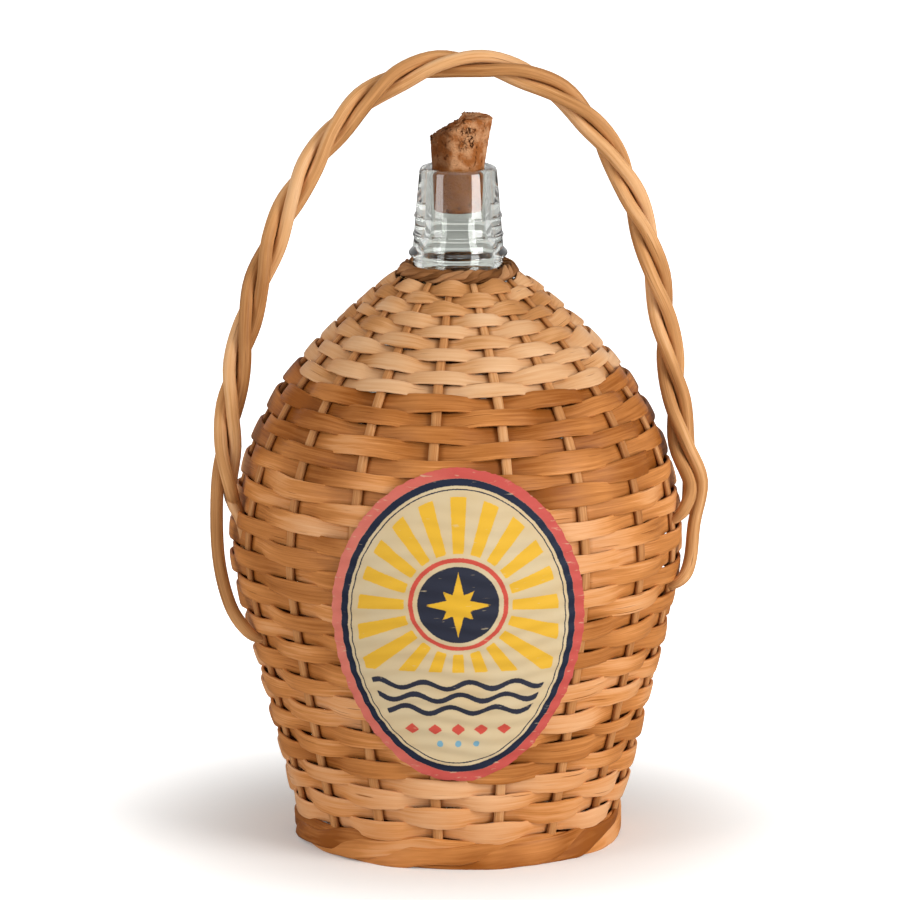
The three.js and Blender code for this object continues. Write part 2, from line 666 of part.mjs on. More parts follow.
// Label: an oval of paper laid over the weave at the front
function label() {
  const centre = alongAtHeight(LABEL_CENTRE_HEIGHT);
  const girth = jacketAt(centre).radius;
  const layer = (lift) => {
    const spot = (ring, segment) => {
      const turn = (segment * 2 * Math.PI) / LABEL_SEGMENTS;
      const share = ring / LABEL_RINGS;
      const place = jacketAt(centre + (share * LABEL_HEIGHT * Math.sin(turn)) / 2);
      const proud = crossingOffsets(place, WALL_SKEIN).front + WALL_SKEIN / 2 + LABEL_STANDOFF;
      return jacketPoint((share * LABEL_WIDTH * Math.cos(turn)) / 2 / girth, place, proud + lift);
    };
    const points = [spot(0, 0)];
    for (let ring = 1; ring <= LABEL_RINGS; ring += 1) {
      for (let segment = 0; segment < LABEL_SEGMENTS; segment += 1) points.push(spot(ring, segment));
    }
    return points;
  };
  const count = 1 + LABEL_RINGS * LABEL_SEGMENTS;
  const faces = [];
  const front = (a, b, c) => faces.push(a, b, c, a + count, c + count, b + count);
  const rim = (segment) => 1 + (LABEL_RINGS - 1) * LABEL_SEGMENTS + segment;
  for (let j = 0; j < LABEL_SEGMENTS; j += 1) {
    const next = (j + 1) % LABEL_SEGMENTS;
    front(0, 1 + j, 1 + next);
    for (let ring = 1; ring < LABEL_RINGS; ring += 1) {
      const a = 1 + (ring - 1) * LABEL_SEGMENTS;
      front(a + j, a + LABEL_SEGMENTS + j, a + LABEL_SEGMENTS + next);
      front(a + j, a + LABEL_SEGMENTS + next, a + next);
    }
    faces.push(rim(j), rim(j) + count, rim(next) + count, rim(j), rim(next) + count, rim(next));
  }
  const geometry = new THREE.BufferGeometry().setFromPoints([...layer(LABEL_THICKNESS), ...layer(0)]);
  geometry.setIndex(faces);
  return geometry;
}
addPiece("label", label(), COLOURS.label, 0.8);

export default bottle;
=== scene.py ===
"""A rum bottle in a woven willow jacket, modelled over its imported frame.

Each operator makes one piece, or one group of like pieces, at the frame's size and in its place.
Lengths in the modelling functions are millimetres, as in the part's source, and become metres
where a mesh is written. Angles are measured from the front and grow to the right.
"""

import math
import random
from bisect import bisect_left
from typing import NamedTuple

import bpy
from bpy.props import FloatProperty, FloatVectorProperty, IntProperty, PointerProperty
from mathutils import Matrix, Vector, noise


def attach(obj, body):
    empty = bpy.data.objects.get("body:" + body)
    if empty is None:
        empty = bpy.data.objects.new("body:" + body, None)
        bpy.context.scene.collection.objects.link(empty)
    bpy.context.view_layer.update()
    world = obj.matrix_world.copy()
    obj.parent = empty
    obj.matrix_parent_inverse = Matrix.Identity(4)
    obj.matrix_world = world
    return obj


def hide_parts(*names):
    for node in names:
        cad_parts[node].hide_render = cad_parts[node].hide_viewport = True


bl_info = {
    "name": "Willow Rum Bottle",
    "version": (1, 0, 0),
    "blender": (4, 5, 0),
    "location": "View3D > Sidebar > Willow Bottle",
    "description": "Models a corked glass demijohn in a woven willow jacket",
    "category": "Add Mesh",
}

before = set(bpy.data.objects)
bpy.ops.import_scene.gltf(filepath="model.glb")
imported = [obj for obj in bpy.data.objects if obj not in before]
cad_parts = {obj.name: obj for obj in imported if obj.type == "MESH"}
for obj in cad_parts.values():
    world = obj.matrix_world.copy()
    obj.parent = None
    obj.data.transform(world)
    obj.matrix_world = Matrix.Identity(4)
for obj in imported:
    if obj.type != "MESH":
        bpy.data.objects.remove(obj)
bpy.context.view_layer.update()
BOTTLE_BODY = "jacketed_bottle"
CORK_BODY = "stopper"

MM = 0.001
TURN = 2 * math.pi

# Jacket: the middle surface of the weave, along which the stakes run
FIT_GAP = 0.3
BASE_HEIGHT = 6.8
SPOKE_START_RADIUS = 8
HEEL_RADIUS = 64.5
HEEL_BEND = 7
FLARE_RUN = 10
FLARE_RISE = 41
BELLY_RADIUS = 89.5
BELLY_HEIGHT = 128
BELLY_FULLNESS_BELOW = 23
BELLY_FULLNESS_ABOVE = 45
COLLAR_RADIUS = 24.5
COLLAR_HEIGHT = 238
SHOULDER_REACH = 58
SHOULDER_SLOPE = math.radians(38.5)
SHOULDER_ROWS_DROP = 39
STATION_STEPS = 40

# Stakes
STAKES = 17
STEP_ANGLE = TURN / STAKES
FIRST_STAKE = math.radians(-7.3)
STAKE_WIDTH = 4.2
STAKE_THICKNESS = 3.2
STAKE_TIP_WIDTH = 2.6
STAKE_TIP_THICKNESS = 2.2
SPOKE_END_WIDTH = 2
SECTION_CORNER = 0.65  # 1 would make a stake's section an ellipse, and less squares it
STAKE_CLEARANCE = 0.1
STAKE_STRAY = 0.35
STRAY_LENGTH = 17
STAKE_TONES = (0.0, 0.25)
STAKE_CELLS = (120, 12)

# Weavers
SKEIN_LENGTH = 1700
BASE_ROW = 6
WALL_ROW = 6.9
SHOULDER_ROW = 5.6
BASE_SKEIN = 1.4
WALL_SKEIN = 1.5
SHOULDER_SKEIN = 1.2
SKEIN_SWELL = 1.2
ROW_GAP = 0.4
BASE_WEAVE_START = 17
START_STAKE = 8
STEP_UP_STAKES = 3
SKEIN_END_TAPER = 0.3
TIP_SHARE = 0.25  # width of the first strip's tip, as a share of its first row
END_INSET = 0.02  # share of a step that a strip's end keeps from the stake's middle
STEP_CELLS = 12  # faces along a strip from one stake to the next
WIDTH_CELLS = 6
CROWDING = 0.7  # how much closer together a strip's faces are by the stakes
SWAY_SHARPNESS = 0.65  # 1 would bend a strip in a sine wave, and less bends it more sharply
BETWEEN_SHARE = 1.1  # a strip's width between stakes, as a share of its row
BEHIND_SHARE = 1.12  # and behind a stake
WEAVE_FLATNESS = 0.6  # share of the frame's depth of weave that the soft, pressed strips keep
COLLAR_FLATNESS = 0.42  # and the share that they keep at the collar
VISIBLE_SKEIN = 0.85  # a dry strip's thickness, as a share of the frame's
WANDER_STEPS = 1.3  # stakes over which a row's edge strays
LEAN = 0.75  # how far a strip's edges may tilt out or in
LEAN_STEPS = 1.3
RAGGED = 0.42  # how far its edges are uneven
RAGGED_RATE = 4.5
CROWN_LEVEL = 0.55  # share of the crown that stands above a strip's middle level
SWELL_SPREAD = (0.92, 1.07)
EDGE_BEVEL = 0.3
EDGE_ANGLE = math.radians(50)
STRIP_TONES = (0.05, 0.4)
TAN_HEIGHT = 110  # above which the wall's strips darken
TAN_RISE = 70
TAN_DARKENING = 0.22
TONE_DRIFT = 0.34  # how far a strip's tone changes along it
DRIFT_RATE = 0.9
# painted light: how much paler a strip is where it stands in front of a stake
PAINTED_FRONT_LIGHT = 0.05
DIP_SHADE = 0.85  # painted shade: how dark a strip is by a stake that it goes behind
DIP_SHADE_REACH = 0.9

# Foot border and neck binding
FOOT_INSET = 8
FOOT_TOP = 10.5
LAY_STRAY = 1.2  # how unevenly the strips of a ring are laid
STRAND_WIDTH_STRAY = 0.5
STRAND_TILT_SWING = 0.3
STRAND_TILT_STRAY = 0.2
STRAND_TONE_STEP = 0.12
STRAND_TONE_STRAY = 0.2
STRAND_CELLS = (300, 16)

# Glass
GLASS_WALL = 4
GLASS_SIDES = 96
BODY_STATIONS = 24
PUNT_HEIGHT = 5
PUNT_RADIUS = 34
PUNT_BEND = 0.6  # share of its radius and height at which the push-up bends
NECK_RADIUS = 18.9
LIP_HEIGHT = COLLAR_HEIGHT + 47
BEAD_RADIUS = 20.7
BEAD_RISE = 10.6
BEAD_THICKNESS = 4.6
RING_PROUD = 0.6
RING_RISES = (18.6, 26.4)
RING_THICKNESS = 2.4
RING_STEPS = 8
RING_ROUNDNESS = 1.2
LIP_RADIUS = 16.2
LIP_ROUND = 2
LIP_STEPS = 5
BORE_RADIUS = 11.4
BORE_ROUND = 0.8
BORE_STEPS = 4
BORE_DEPTH = 27

# Cork
CORK_SIDES = 64
CORK_DEPTH = 19
CORK_RISE = 21
CORK_TAPER = 0.04
CORK_SLACK = 0.2
CORK_FOOT_EDGE = 0.6
CORK_RIM = 0.7
CORK_VOXEL = 0.42
CORK_CRUMB = 3.2
CORK_PIT = 1.5
CORK_PIT_LEVEL = 0.25
CRUMBLE_START = 4  # rise above the lip at which the cork begins to crumble
CRUMBLE_RUN = 8
CORK_BREAK_LOW = 8.4
CORK_BREAK_STEP = 3.2
CORK_STEP_RUN = 2.6
CORK_TOP_EDGE = 1.6
CORK_TOP_LEAN = 0.05  # sideways for each length up, above the lip
CORK_TOP_FLARE = 0.0065  # share by which it widens for each millimetre up, above the lip

# Handle
ROD_DIAMETER = 5.6
ROD_TIP_DIAMETER = 3.2
ROD_TIP_STEPS = 12
ROD_SIDES = 16
ROD_SLACK = 0.99  # share of a rod's width that leaves room for its lumps
ROD_LUMPS = 0.05
ROD_TONES = (0.05, 0.3)
ROD_TONE_STRAY = 0.2
KNOTS = 5
KNOT_SIZE = 0.08
KNOT_LENGTH = 2.2
LAY_TURNS = 5
LAY_STEPS = 9
TURN_POINTS = 20
PATH_STEPS = 5
ARCH_STEPS = 200
HANDLE_FOOT_HEIGHT = 150
HANDLE_RISE = 177
HANDLE_TOP_SHIFT = -1.6
HANDLE_LEFT_BOW = 2
HANDLE_LEFT_BOW_RISE = 63.5
HANDLE_LEFT_TOP_REACH = 63.6
HANDLE_RIGHT_BOW = -15
HANDLE_RIGHT_BOW_RISE = 38.5
HANDLE_RIGHT_TOP_REACH = 95
HANDLE_LEAN = math.radians(12)
LEFT_FOOT = math.radians(-78)
RIGHT_FOOT = math.radians(84)
LEFT_LOOP_DROP = 64
RIGHT_LOOP_DROP = 42
LEFT_LOOP_STANDOFF = 9
RIGHT_LOOP_STANDOFF = 6
LOOP_MIDDLE = 0.45
LOOP_TURN = 0.76
LOOP_SWING = 0.4
LOOP_CLOSING = 0.85
LOOP_LEAST_FALL = 4 * ROD_DIAMETER
HANDLE_CLEARANCE = 1
TUCK_DROP = 14
TUCK_ROUTE = ((7, 1.5), (15, -3.2), (26, -5.3))  # falls below the foot, and standoffs there

# Where the handle's rods are tucked in: angles, and how far the weave is pushed out
TUCK_BULGES = ((math.radians(-84), 3.4), (math.radians(88), 1.6))
BULGE_SPREAD = math.radians(15)
BULGE_HEIGHT = 124
BULGE_RISE = 30

# Label
LABEL_WIDTH = 104
LABEL_HEIGHT = 134
LABEL_CENTRE_HEIGHT = 107
LABEL_STANDOFF = 0.6
LABEL_CELLS = (130, 160)
LABEL_EDGE_ANGLE = math.radians(50)
FRAY_DEPTH = 0.012  # share of the label that is worn off its edge
FRAY_LENGTH = 5
FRAY_FINE_DEPTH = 0.006

# Label's print: sizes and places from the label's middle
SUN_RISE = 12
DISC_RADIUS = 15.8
RING_RADIUS = 18.5
RING_HALF = 0.9
RAYS = 20
RAY_START = 21
RAY_HALF = 0.9
RAY_SPREAD = 0.055
RAY_INSET = 11.5
RAY_FLOOR = -17
STAR_TIP = 13.5
SMALL_STAR_TIP = 8.5
STAR_WAIST = 3.6
WAVES = 3
WAVE_TOP = -23
WAVE_STEP = 5.6
WAVE_SWING = 1.5
WAVE_LENGTH = 19
WAVE_SHIFT = 1.3
WAVE_HALF = 1.15
WAVE_INSET = 12.5
LOZENGE_PLACES = (-20, -10, 0, 10, 20)
LOZENGE_FALL = 43
LOZENGE_SHAPE = (1.5, 1.1)
LOZENGE_SIZE = 2.2
DOT_PLACES = (-8, 0, 8)
DOT_FALL = 49.5
DOT_RADIUS = 1.4

# Sockets of a colour Mix node, whose names repeat
MIX_A = 6
MIX_B = 7
MIX_RESULT = 2

SEEDS = 40  # random places in the noise are drawn up to this


def linear(code):
    """Turns an sRGB hex colour into linear red, green and blue."""
    shares = [int(code[i:i + 2], 16) / 255 for i in (1, 3, 5)]
    return tuple(s / 12.92 if s <= 0.04045 else ((s + 0.055) / 1.055) ** 2.4 for s in shares)


def colour_setting(name, description, code):
    return FloatVectorProperty(
        name=name,
        description=description,
        default=linear(code),
        subtype="COLOR",
        size=3,
        min=0,
        max=1,
    )


def length_setting(name, description, millimetres):
    return FloatProperty(
        name=name, description=description, default=millimetres * MM, unit="LENGTH"
    )


def power_setting(name, description, watts):
    return FloatProperty(name=name, description=description, default=watts, unit="POWER")


class WillowSettings(bpy.types.PropertyGroup):
    """Sizes and colours of the woven willow"""

    skein_dark: colour_setting("Dark skein", "Shaded streaks of the wall's strips", "#8f4f18")
    skein_middle: colour_setting("Skein", "Main colour of the wall's strips", "#d0894a")
    skein_pale: colour_setting("Pale skein", "Pale streaks of the wall's strips", "#e6b386")
    shoulder_dark: colour_setting("Dark shoulder", "Shaded streaks of the shoulder", "#99622f")
    shoulder_middle: colour_setting("Shoulder", "Main colour of the shoulder", "#c88e58")
    shoulder_pale: colour_setting("Pale shoulder", "Pale streaks of the shoulder", "#e0b68c")
    rod_dark: colour_setting("Dark rod", "Shaded streaks of the handle's rods", "#87501f")
    rod_middle: colour_setting("Rod", "Main colour of the handle's rods", "#d39a62")
    rod_pale: colour_setting("Pale rod", "Pale streaks of the handle's rods", "#eec69b")
    bark_dark: colour_setting("Dark bark", "Furrows of the neck binding", "#55300d")
    bark_middle: colour_setting("Bark", "Main colour of the neck binding", "#8a5930")
    bark_pale: colour_setting("Pale bark", "Ridges of the neck binding", "#b8875c")
    crown: length_setting("Crown", "How far a strip's middle stands proud of its edges", 0.2)
    wander: length_setting("Wander", "How far a row's edges stray up and down", 1.8)
    seed: IntProperty(
        name="Seed", description="Starts the random differences between strips", default=11
    )


class GlassSettings(bpy.types.PropertyGroup):
    """Finish of the glass"""

    tint: colour_setting("Tint", "Colour of the clear glass", "#f3f6f2")
    roughness: FloatProperty(
        name="Roughness", description="Polish of the glass", default=0.03, subtype="FACTOR"
    )


class CorkSettings(bpy.types.PropertyGroup):
    """Sizes and colours of the cork"""

    pits: colour_setting("Pits", "Pores and cracks of the cork", "#542907")
    middle: colour_setting("Cork", "Main colour of the cork", "#96582a")
    pale: colour_setting("Pale cork", "Dry, rubbed patches of the cork", "#bd8a61")
    soaked: colour_setting("Soaked cork", "Part of the cork that the drink has soaked", "#8a4a0c")
    crumble: length_setting("Crumble", "Depth of the crumbled places", 1.5)


class LabelSettings(bpy.types.PropertyGroup):
    """Sizes and colours of the label"""

    paper: colour_setting("Paper", "Aged paper of the field", "#cbb793")
    band: colour_setting("Band", "Outer band", "#be4f47")
    faded_band: colour_setting("Faded band", "Outer band where light has faded it", "#dc8370")
    foxing: colour_setting("Foxing", "Stains of the paper", "#c9ab7c")
    ink: colour_setting("Dark ink", "Rules, disc and waves", "#1d2438")
    yellow: colour_setting("Yellow", "Rays and star", "#dcaa2c")
    red: colour_setting("Red", "Ring and lozenges", "#c4473a")
    blue: colour_setting("Blue", "Dots", "#6f9fb4")
    thickness: length_setting("Thickness", "Thickness of the paper", 0.4)
    ripple: length_setting("Ripple", "How deep the paper sinks between the rows", 0.6)


class StageSettings(bpy.types.PropertyGroup):
    """Camera, lamps and floor"""

    distance: length_setting("Distance", "From the camera to its aim", 3200)
    elevation: FloatProperty(
        name="Elevation",
        description="Camera above the horizon",
        default=math.radians(11.8),
        subtype="ANGLE",
    )
    framed_width: length_setting("Framed width", "Width of the view at the bottle's axis", 378)
    floor_colour: colour_setting("Floor", "Colour of the floor", "#f2f1ee")
    key_power: power_setting("Key lamp", "Power of the lamp at the right", 38)
    fill_power: power_setting("Fill lamp", "Power of the lamp at the left", 14.5)
    top_power: power_setting("Top lamp", "Power of the lamp above", 5)
    sky: FloatProperty(name="Sky", description="Strength of the even light all round", default=0.36)


class BottleSettings(bpy.types.PropertyGroup):
    """All that a user may change on the bottle"""

    willow: PointerProperty(type=WillowSettings)
    glass: PointerProperty(type=GlassSettings)
    cork: PointerProperty(type=CorkSettings)
    label: PointerProperty(type=LabelSettings)
    stage: PointerProperty(type=StageSettings)


# The jacket's shape


class Place(NamedTuple):
    """A spot on the jacket's middle surface: its way along, radius, height and normal"""

    along: float
    radius: float
    height: float
    out: float
    up: float


def mix(a, b, share):
    return a + (b - a) * share


def bezier(points, share):
    while len(points) > 1:
        points = [a.lerp(b, share) for a, b in zip(points, points[1:])]
    return points[0]


def jacket_stations():
    """The middle surface from the base's centre out over the heel and up to the collar"""
    heel_top = BASE_HEIGHT + HEEL_BEND
    heel_start = Vector((HEEL_RADIUS - HEEL_BEND, BASE_HEIGHT))
    wall_start = Vector((HEEL_RADIUS + HEEL_BEND * FLARE_RUN / FLARE_RISE, heel_top))
    belly = Vector((BELLY_RADIUS, BELLY_HEIGHT))
    collar = Vector((COLLAR_RADIUS, COLLAR_HEIGHT))
    slope = Vector((math.cos(SHOULDER_SLOPE), -math.sin(SHOULDER_SLOPE)))
    stretches = [
        [Vector((SPOKE_START_RADIUS, BASE_HEIGHT)), heel_start],
        [heel_start, Vector((HEEL_RADIUS, BASE_HEIGHT)), wall_start],
        [
            wall_start,
            wall_start + Vector((FLARE_RUN, FLARE_RISE)),
            belly - Vector((0, BELLY_FULLNESS_BELOW)),
            belly,
        ],
        [
            belly,
            belly + Vector((0, BELLY_FULLNESS_ABOVE)),
            collar + slope * SHOULDER_REACH,
            collar,
        ],
    ]
    stations = []
    for points in stretches:
        pulls = [b - a for a, b in zip(points, points[1:])]
        for i in range(1 if stations else 0, STATION_STEPS + 1):
            here = bezier(points, i / STATION_STEPS)
            tangent = bezier(pulls, i / STATION_STEPS).normalized()
            along = 0
            if stations:
                before = stations[-1]
                along = before.along + math.hypot(here.x - before.radius, here.y - before.height)
            stations.append(Place(along, here.x, here.y, tangent.y, -tangent.x))
    return stations


STATIONS = jacket_stations()
ALONGS = [place.along for place in STATIONS]
JACKET_LENGTH = ALONGS[-1]


def jacket_at(along):
    """The middle surface at a distance along it"""
    after = min(len(STATIONS) - 1, max(1, bisect_left(ALONGS, along)))
    a, b = STATIONS[after - 1], STATIONS[after]
    share = (along - a.along) / (b.along - a.along)
    out, up = mix(a.out, b.out, share), mix(a.up, b.up, share)
    size = math.hypot(out, up)
    radius, height = mix(a.radius, b.radius, share), mix(a.height, b.height, share)
    return Place(along, radius, height, out / size, up / size)


def along_at_height(height):
    """The distance along the wall at which it reaches a height"""
    after = next(
        i
        for i, place in enumerate(STATIONS)
        if place.height >= height and place.height > BASE_HEIGHT
    )
    a, b = STATIONS[after - 1], STATIONS[after]
    return mix(a.along, b.along, (height - a.height) / (b.height - a.height))


def jacket_point(angle, place, offset, slide=0):
    """A point off the middle surface, at an angle and a slide along it"""
    radius = place.radius + place.out * offset - place.up * slide
    height = place.height + place.up * offset + place.out * slide
    return Vector((radius * math.sin(angle), -radius * math.cos(angle), height))


HEEL_ALONG = HEEL_RADIUS - HEEL_BEND - SPOKE_START_RADIUS
SHOULDER_ALONG = along_at_height(COLLAR_HEIGHT - SHOULDER_ROWS_DROP)


def stake_halves(along):
    """Half width and half thickness of a stake, which thins towards both ends"""
    keys = [0, HEEL_ALONG, SHOULDER_ALONG, JACKET_LENGTH]
    widths = [SPOKE_END_WIDTH, STAKE_WIDTH, STAKE_WIDTH, STAKE_TIP_WIDTH]
    depths = [STAKE_TIP_THICKNESS, STAKE_THICKNESS, STAKE_THICKNESS, STAKE_TIP_THICKNESS]
    after = min(len(keys) - 1, max(1, bisect_left(keys, along)))
    share = (along - keys[after - 1]) / (keys[after] - keys[after - 1])
    share = min(1, max(0, share))
    return [mix(sizes[after - 1], sizes[after], share) / 2 for sizes in (widths, depths)]


def stake_angle(index):
    return FIRST_STAKE + index * STEP_ANGLE


def crossing_offsets(place, thickness):
    """How far a strip's middle stands off the middle surface in front of a stake and behind one"""
    across, deep = stake_halves(place.along)
    spacing = place.radius * math.sin(STEP_ANGLE)
    bow = place.radius * (1 - math.cos(STEP_ANGLE)) * max(0, place.out)
    clear = deep + FIT_GAP + thickness / 2
    front = behind = clear
    for _ in range(6):
        front = clear + across * (bow + front + behind) / spacing
        behind = clear + across * max(0, front + behind - bow) / spacing
    return front, behind


def weave_depth(place, thickness):
    """Where a strip's middle is in front of a stake, and how much deeper it is behind one"""
    front, behind = crossing_offsets(place, thickness)
    climbed = max(0, place.along - SHOULDER_ALONG) / (JACKET_LENGTH - SHOULDER_ALONG)
    return front, mix(WEAVE_FLATNESS, COLLAR_FLATNESS, climbed) * (front + behind)


def bulge(angle, height):
    """How far the strips and stakes are pushed out where the handle's rods are tucked under them"""
    push = 0
    for middle, amount in TUCK_BULGES:
        beside = (angle - middle + math.pi) % TURN - math.pi
        above = height - BULGE_HEIGHT
        push += amount * math.exp(-(beside / BULGE_SPREAD) ** 2 - (above / BULGE_RISE) ** 2)
    return push


def skein_at(along):
    return SHOULDER_SKEIN if along > SHOULDER_ALONG else WALL_SKEIN


def jacket_surface(angle, height, standoff):
    place = jacket_at(along_at_height(height))
    skein = skein_at(place.along)
    return jacket_point(angle, place, crossing_offsets(place, skein)[0] + skein / 2 + standoff)


# Mesh helpers


def add_grid(name, columns, rows):
    """Adds a flat grid whose corners run from 0 to 1 both ways"""
    bpy.ops.object.select_all(action="DESELECT")
    bpy.ops.mesh.primitive_grid_add(x_subdivisions=columns, y_subdivisions=rows, size=1)
    grid = bpy.context.object
    grid.name = name
    bpy.ops.object.mode_set(mode="EDIT")
    bpy.ops.transform.translate(value=(0.5, 0.5, 0))
    bpy.ops.object.mode_set(mode="OBJECT")
    return grid


def lay_grid(grid, section, length, width, attributes=(), shift=0, settle=float):
    """Moves a grid's corners to its sections, and scales its UV map to real lengths"""
    shares = [(vertex.co.x, vertex.co.y) for vertex in grid.data.vertices]
    sections = {u: section(u) for u in {u for u, v in shares}}
    grid.data.vertices.foreach_set("co", [x * MM for u, v in shares for x in sections[u](v)])
    for name, value in attributes:
        values = {u: value(u) for u in sections}
        layer = grid.data.attributes.new(name, "FLOAT", "POINT")
        layer.data.foreach_set("value", [values[u] for u, v in shares])
    for corner in grid.data.uv_layers.active.data:
        corner.uv = (settle(corner.uv.x) * length * MM, corner.uv.y * width * MM + shift)


def close_tube():
    """Joins a tube's or ring's seams, fills its ends and turns its faces outwards"""
    bpy.ops.object.mode_set(mode="EDIT")
    bpy.ops.mesh.select_all(action="SELECT")
    bpy.ops.mesh.remove_doubles(threshold=0.01 * MM)
    bpy.ops.mesh.fill_holes(sides=0)
    bpy.ops.mesh.normals_make_consistent(inside=False)
    bpy.ops.object.mode_set(mode="OBJECT")
    bpy.ops.object.shade_smooth()


def face_outwards():
    bpy.ops.object.mode_set(mode="EDIT")
    bpy.ops.mesh.select_all(action="SELECT")
    bpy.ops.mesh.normals_make_consistent(inside=False)
    bpy.ops.object.mode_set(mode="OBJECT")


def apply_modifier(obj, kind, **settings):
    bpy.ops.object.modifier_add(type=kind)
    modifier = obj.modifiers[-1]
    for key, value in settings.items():
        setattr(modifier, key, value)
    bpy.ops.object.modifier_apply(modifier=modifier.name)


def dress(obj, material, slot, body, nodes):
    """Gives a piece its finish, and its place on the frame"""
    obj.data.materials.clear()
    obj.data.materials.append(material)
    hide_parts(*nodes)
    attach(obj, body)


def squared(share):
    """A point on a rounded square, a share of the way round it"""
    turn = (math.cos(share * TURN), math.sin(share * TURN))
    return [math.copysign(abs(s) ** SECTION_CORNER, s) for s in turn]


def ring_noise(ring, seed, waves):
    """A wandering value that closes on itself round a ring"""
    return noise.noise(Vector((waves * math.cos(ring), waves * math.sin(ring), seed * 7.31)))


def smooth_noise(where, seed):
    """A wandering value between about -1 and 1"""
    return noise.noise(Vector((where, seed * 7.31, seed * 3.17)))


# Materials

# Willow's grain: lengths and widths in millimetres, and the detail of each noise
FIBRES = (16, 0.4, 3)
BLOTCHES = (38, 7, 3)
SPLITS = (26, 0.7, 1)
STREAK_WEIGHT = 0.5
BLOTCH_WEIGHT = 0.55
FIBRE_WEIGHT = 0.35
MIDDLE_RANGE = (0.47, 0.95)  # grain and tone, over which dark wood turns to its main colour
PALE_RANGE = (0.87, 1.37)  # and over which the main colour turns pale
SPLIT_RANGE = (0.71, 0.75)
SPLIT_DARKNESS = 0.75
FIBRE_RELIEF = 0.6
POLISH_GRAIN = (0.3, 0.7)  # streaks over which the polish changes
POLISH_SPREAD = (-0.08, 0.1)  # and what they add to the roughness
BARE_SHEEN = 0.15  # specular level of bare wood and cork

# Glass: its indices are matched to how little the neck bends what is behind it, and to how
# bright it mirrors
GLASS_IOR = 1.2
GLASS_SURFACE_IOR = 1.65
GLASS_WAVE = 9
GLASS_WAVINESS = 0.12
GLASS_RELIEF = 0.4

# Cork: sizes of its mottling, pores and cells, how much darker its left side is, and how strongly
# its end is soaked
CORK_MOTTLE = 5
CORK_PORE = 2
CORK_PORE_STRETCH = 0.6
CORK_CELL = 0.9
CORK_RELIEF = 0.4
CORK_LEFT_DARKENING = 0.7
CORK_SOAKING = 0.85

# Label paper: sizes of its fibres, stains and scuffs, and insets of the printed rules from its edge
PAPER_FIBRE = 0.8
PAPER_STAIN = 26
PAPER_SCUFF = 1.3
PAPER_SCUFF_STRETCH = 0.22
PAPER_RELIEF = 0.06
PAPER_SHEEN = 0.2
INK_BLEED = 0.12
INK_COVER = 0.98
RULE_BLEED = 0.1
THIN_RULE = (8.4, 8.9)
RED_BAND = (-9, 4.3)
NAVY_RULE = (4.3, 7.2)
FRAYED_INSET = 5
LABEL_INKS = ("rays", "ring", "disc", "waves", "lozenges", "dots", "star")


def set_inputs(tree, node, inputs):
    """Links each input that is given a socket, and sets the others"""
    for key, value in inputs.items():
        if isinstance(value, bpy.types.NodeSocket):
            tree.links.new(value, node.inputs[key])
        else:
            node.inputs[key].default_value = value


def add_node(tree, kind, inputs=None, output=0, **settings):
    """Adds a node with its settings and inputs, and returns one of its outputs"""
    node = tree.nodes.new("ShaderNode" + kind)
    for key, value in settings.items():
        setattr(node, key, value)
    set_inputs(tree, node, inputs or {})
    return node.outputs[output]


def new_material(name):
    material = bpy.data.materials.new(name)
    material.use_nodes = True
    return material, material.node_tree, material.node_tree.nodes["Principled BSDF"]


def opaque(colour):
    return (*colour, 1)


def layered(tree, colour, layers):
    """A colour with others laid over it, each by its own share"""
    for share, over in layers:
        inputs = {0: share, MIX_A: colour, MIX_B: over}
        colour = add_node(tree, "Mix", inputs, MIX_RESULT, data_type="RGBA")
    return colour


def palette(settings, wood):
    return [getattr(settings, f"{wood}_{tone}") for tone in ("dark", "middle", "pale")]


def willow(name, colours, streak, roughness, relief):
    """Split or peeled willow: satin, with long grain, blotches, dark splits and painted shade at
    its dips
    """
    dark, middle, pale = (opaque(colour) for colour in colours)
    material, tree, shader = new_material(name)
    flat = add_node(tree, "TexCoord", output="UV")
    grains = []
    for length, width, detail in (streak, FIBRES, BLOTCHES, SPLITS):
        scale = (1 / (length * MM), 1 / (width * MM), 1)
        place = add_node(tree, "Mapping", {"Vector": flat, "Scale": scale})
        grains.append(add_node(tree, "TexNoise", {"Vector": place, "Scale": 1, "Detail": detail}))
    streaks, fibres, blotches, splits = grains
    tone, dip_shade = (
        add_node(tree, "Attribute", output="Fac", attribute_name=layer)
        for layer in ("tone", "dip_shade")
    )
    total = tone
    weights = ((streaks, STREAK_WEIGHT), (blotches, BLOTCH_WEIGHT), (fibres, FIBRE_WEIGHT))
    for grain, weight in weights:
        total = add_node(tree, "Math", {0: grain, 1: weight, 2: total}, operation="MULTIPLY_ADD")
    low, high, split = (
        add_node(tree, "MapRange", {"Value": value, "From Min": a, "From Max": b, "To Max": most})
        for value, (a, b), most in (
            (total, MIDDLE_RANGE, 1),
            (total, PALE_RANGE, 1),
            (splits, SPLIT_RANGE, SPLIT_DARKNESS),
        )
    )
    polish = {"Value": streaks, "From Min": POLISH_GRAIN[0], "From Max": POLISH_GRAIN[1]}
    polish["To Min"], polish["To Max"] = (roughness + part for part in POLISH_SPREAD)
    ridges = {0: fibres, 1: FIBRE_RELIEF, 2: streaks}
    height = add_node(tree, "Math", ridges, operation="MULTIPLY_ADD")
    height = add_node(tree, "Math", {0: height, 1: split}, operation="SUBTRACT")
    # the dark wood is also laid over the dips behind stakes as painted shade
    layers = ((low, middle), (high, pale), (split, dark), (dip_shade, dark))
    bump = {"Height": height, "Strength": 1, "Distance": relief * MM}
    inputs = {
        "Base Color": layered(tree, dark, layers),
        "Roughness": add_node(tree, "MapRange", polish),
        "Specular IOR Level": BARE_SHEEN,
        "Normal": add_node(tree, "Bump", bump),
    }
    set_inputs(tree, shader, inputs)
    return material


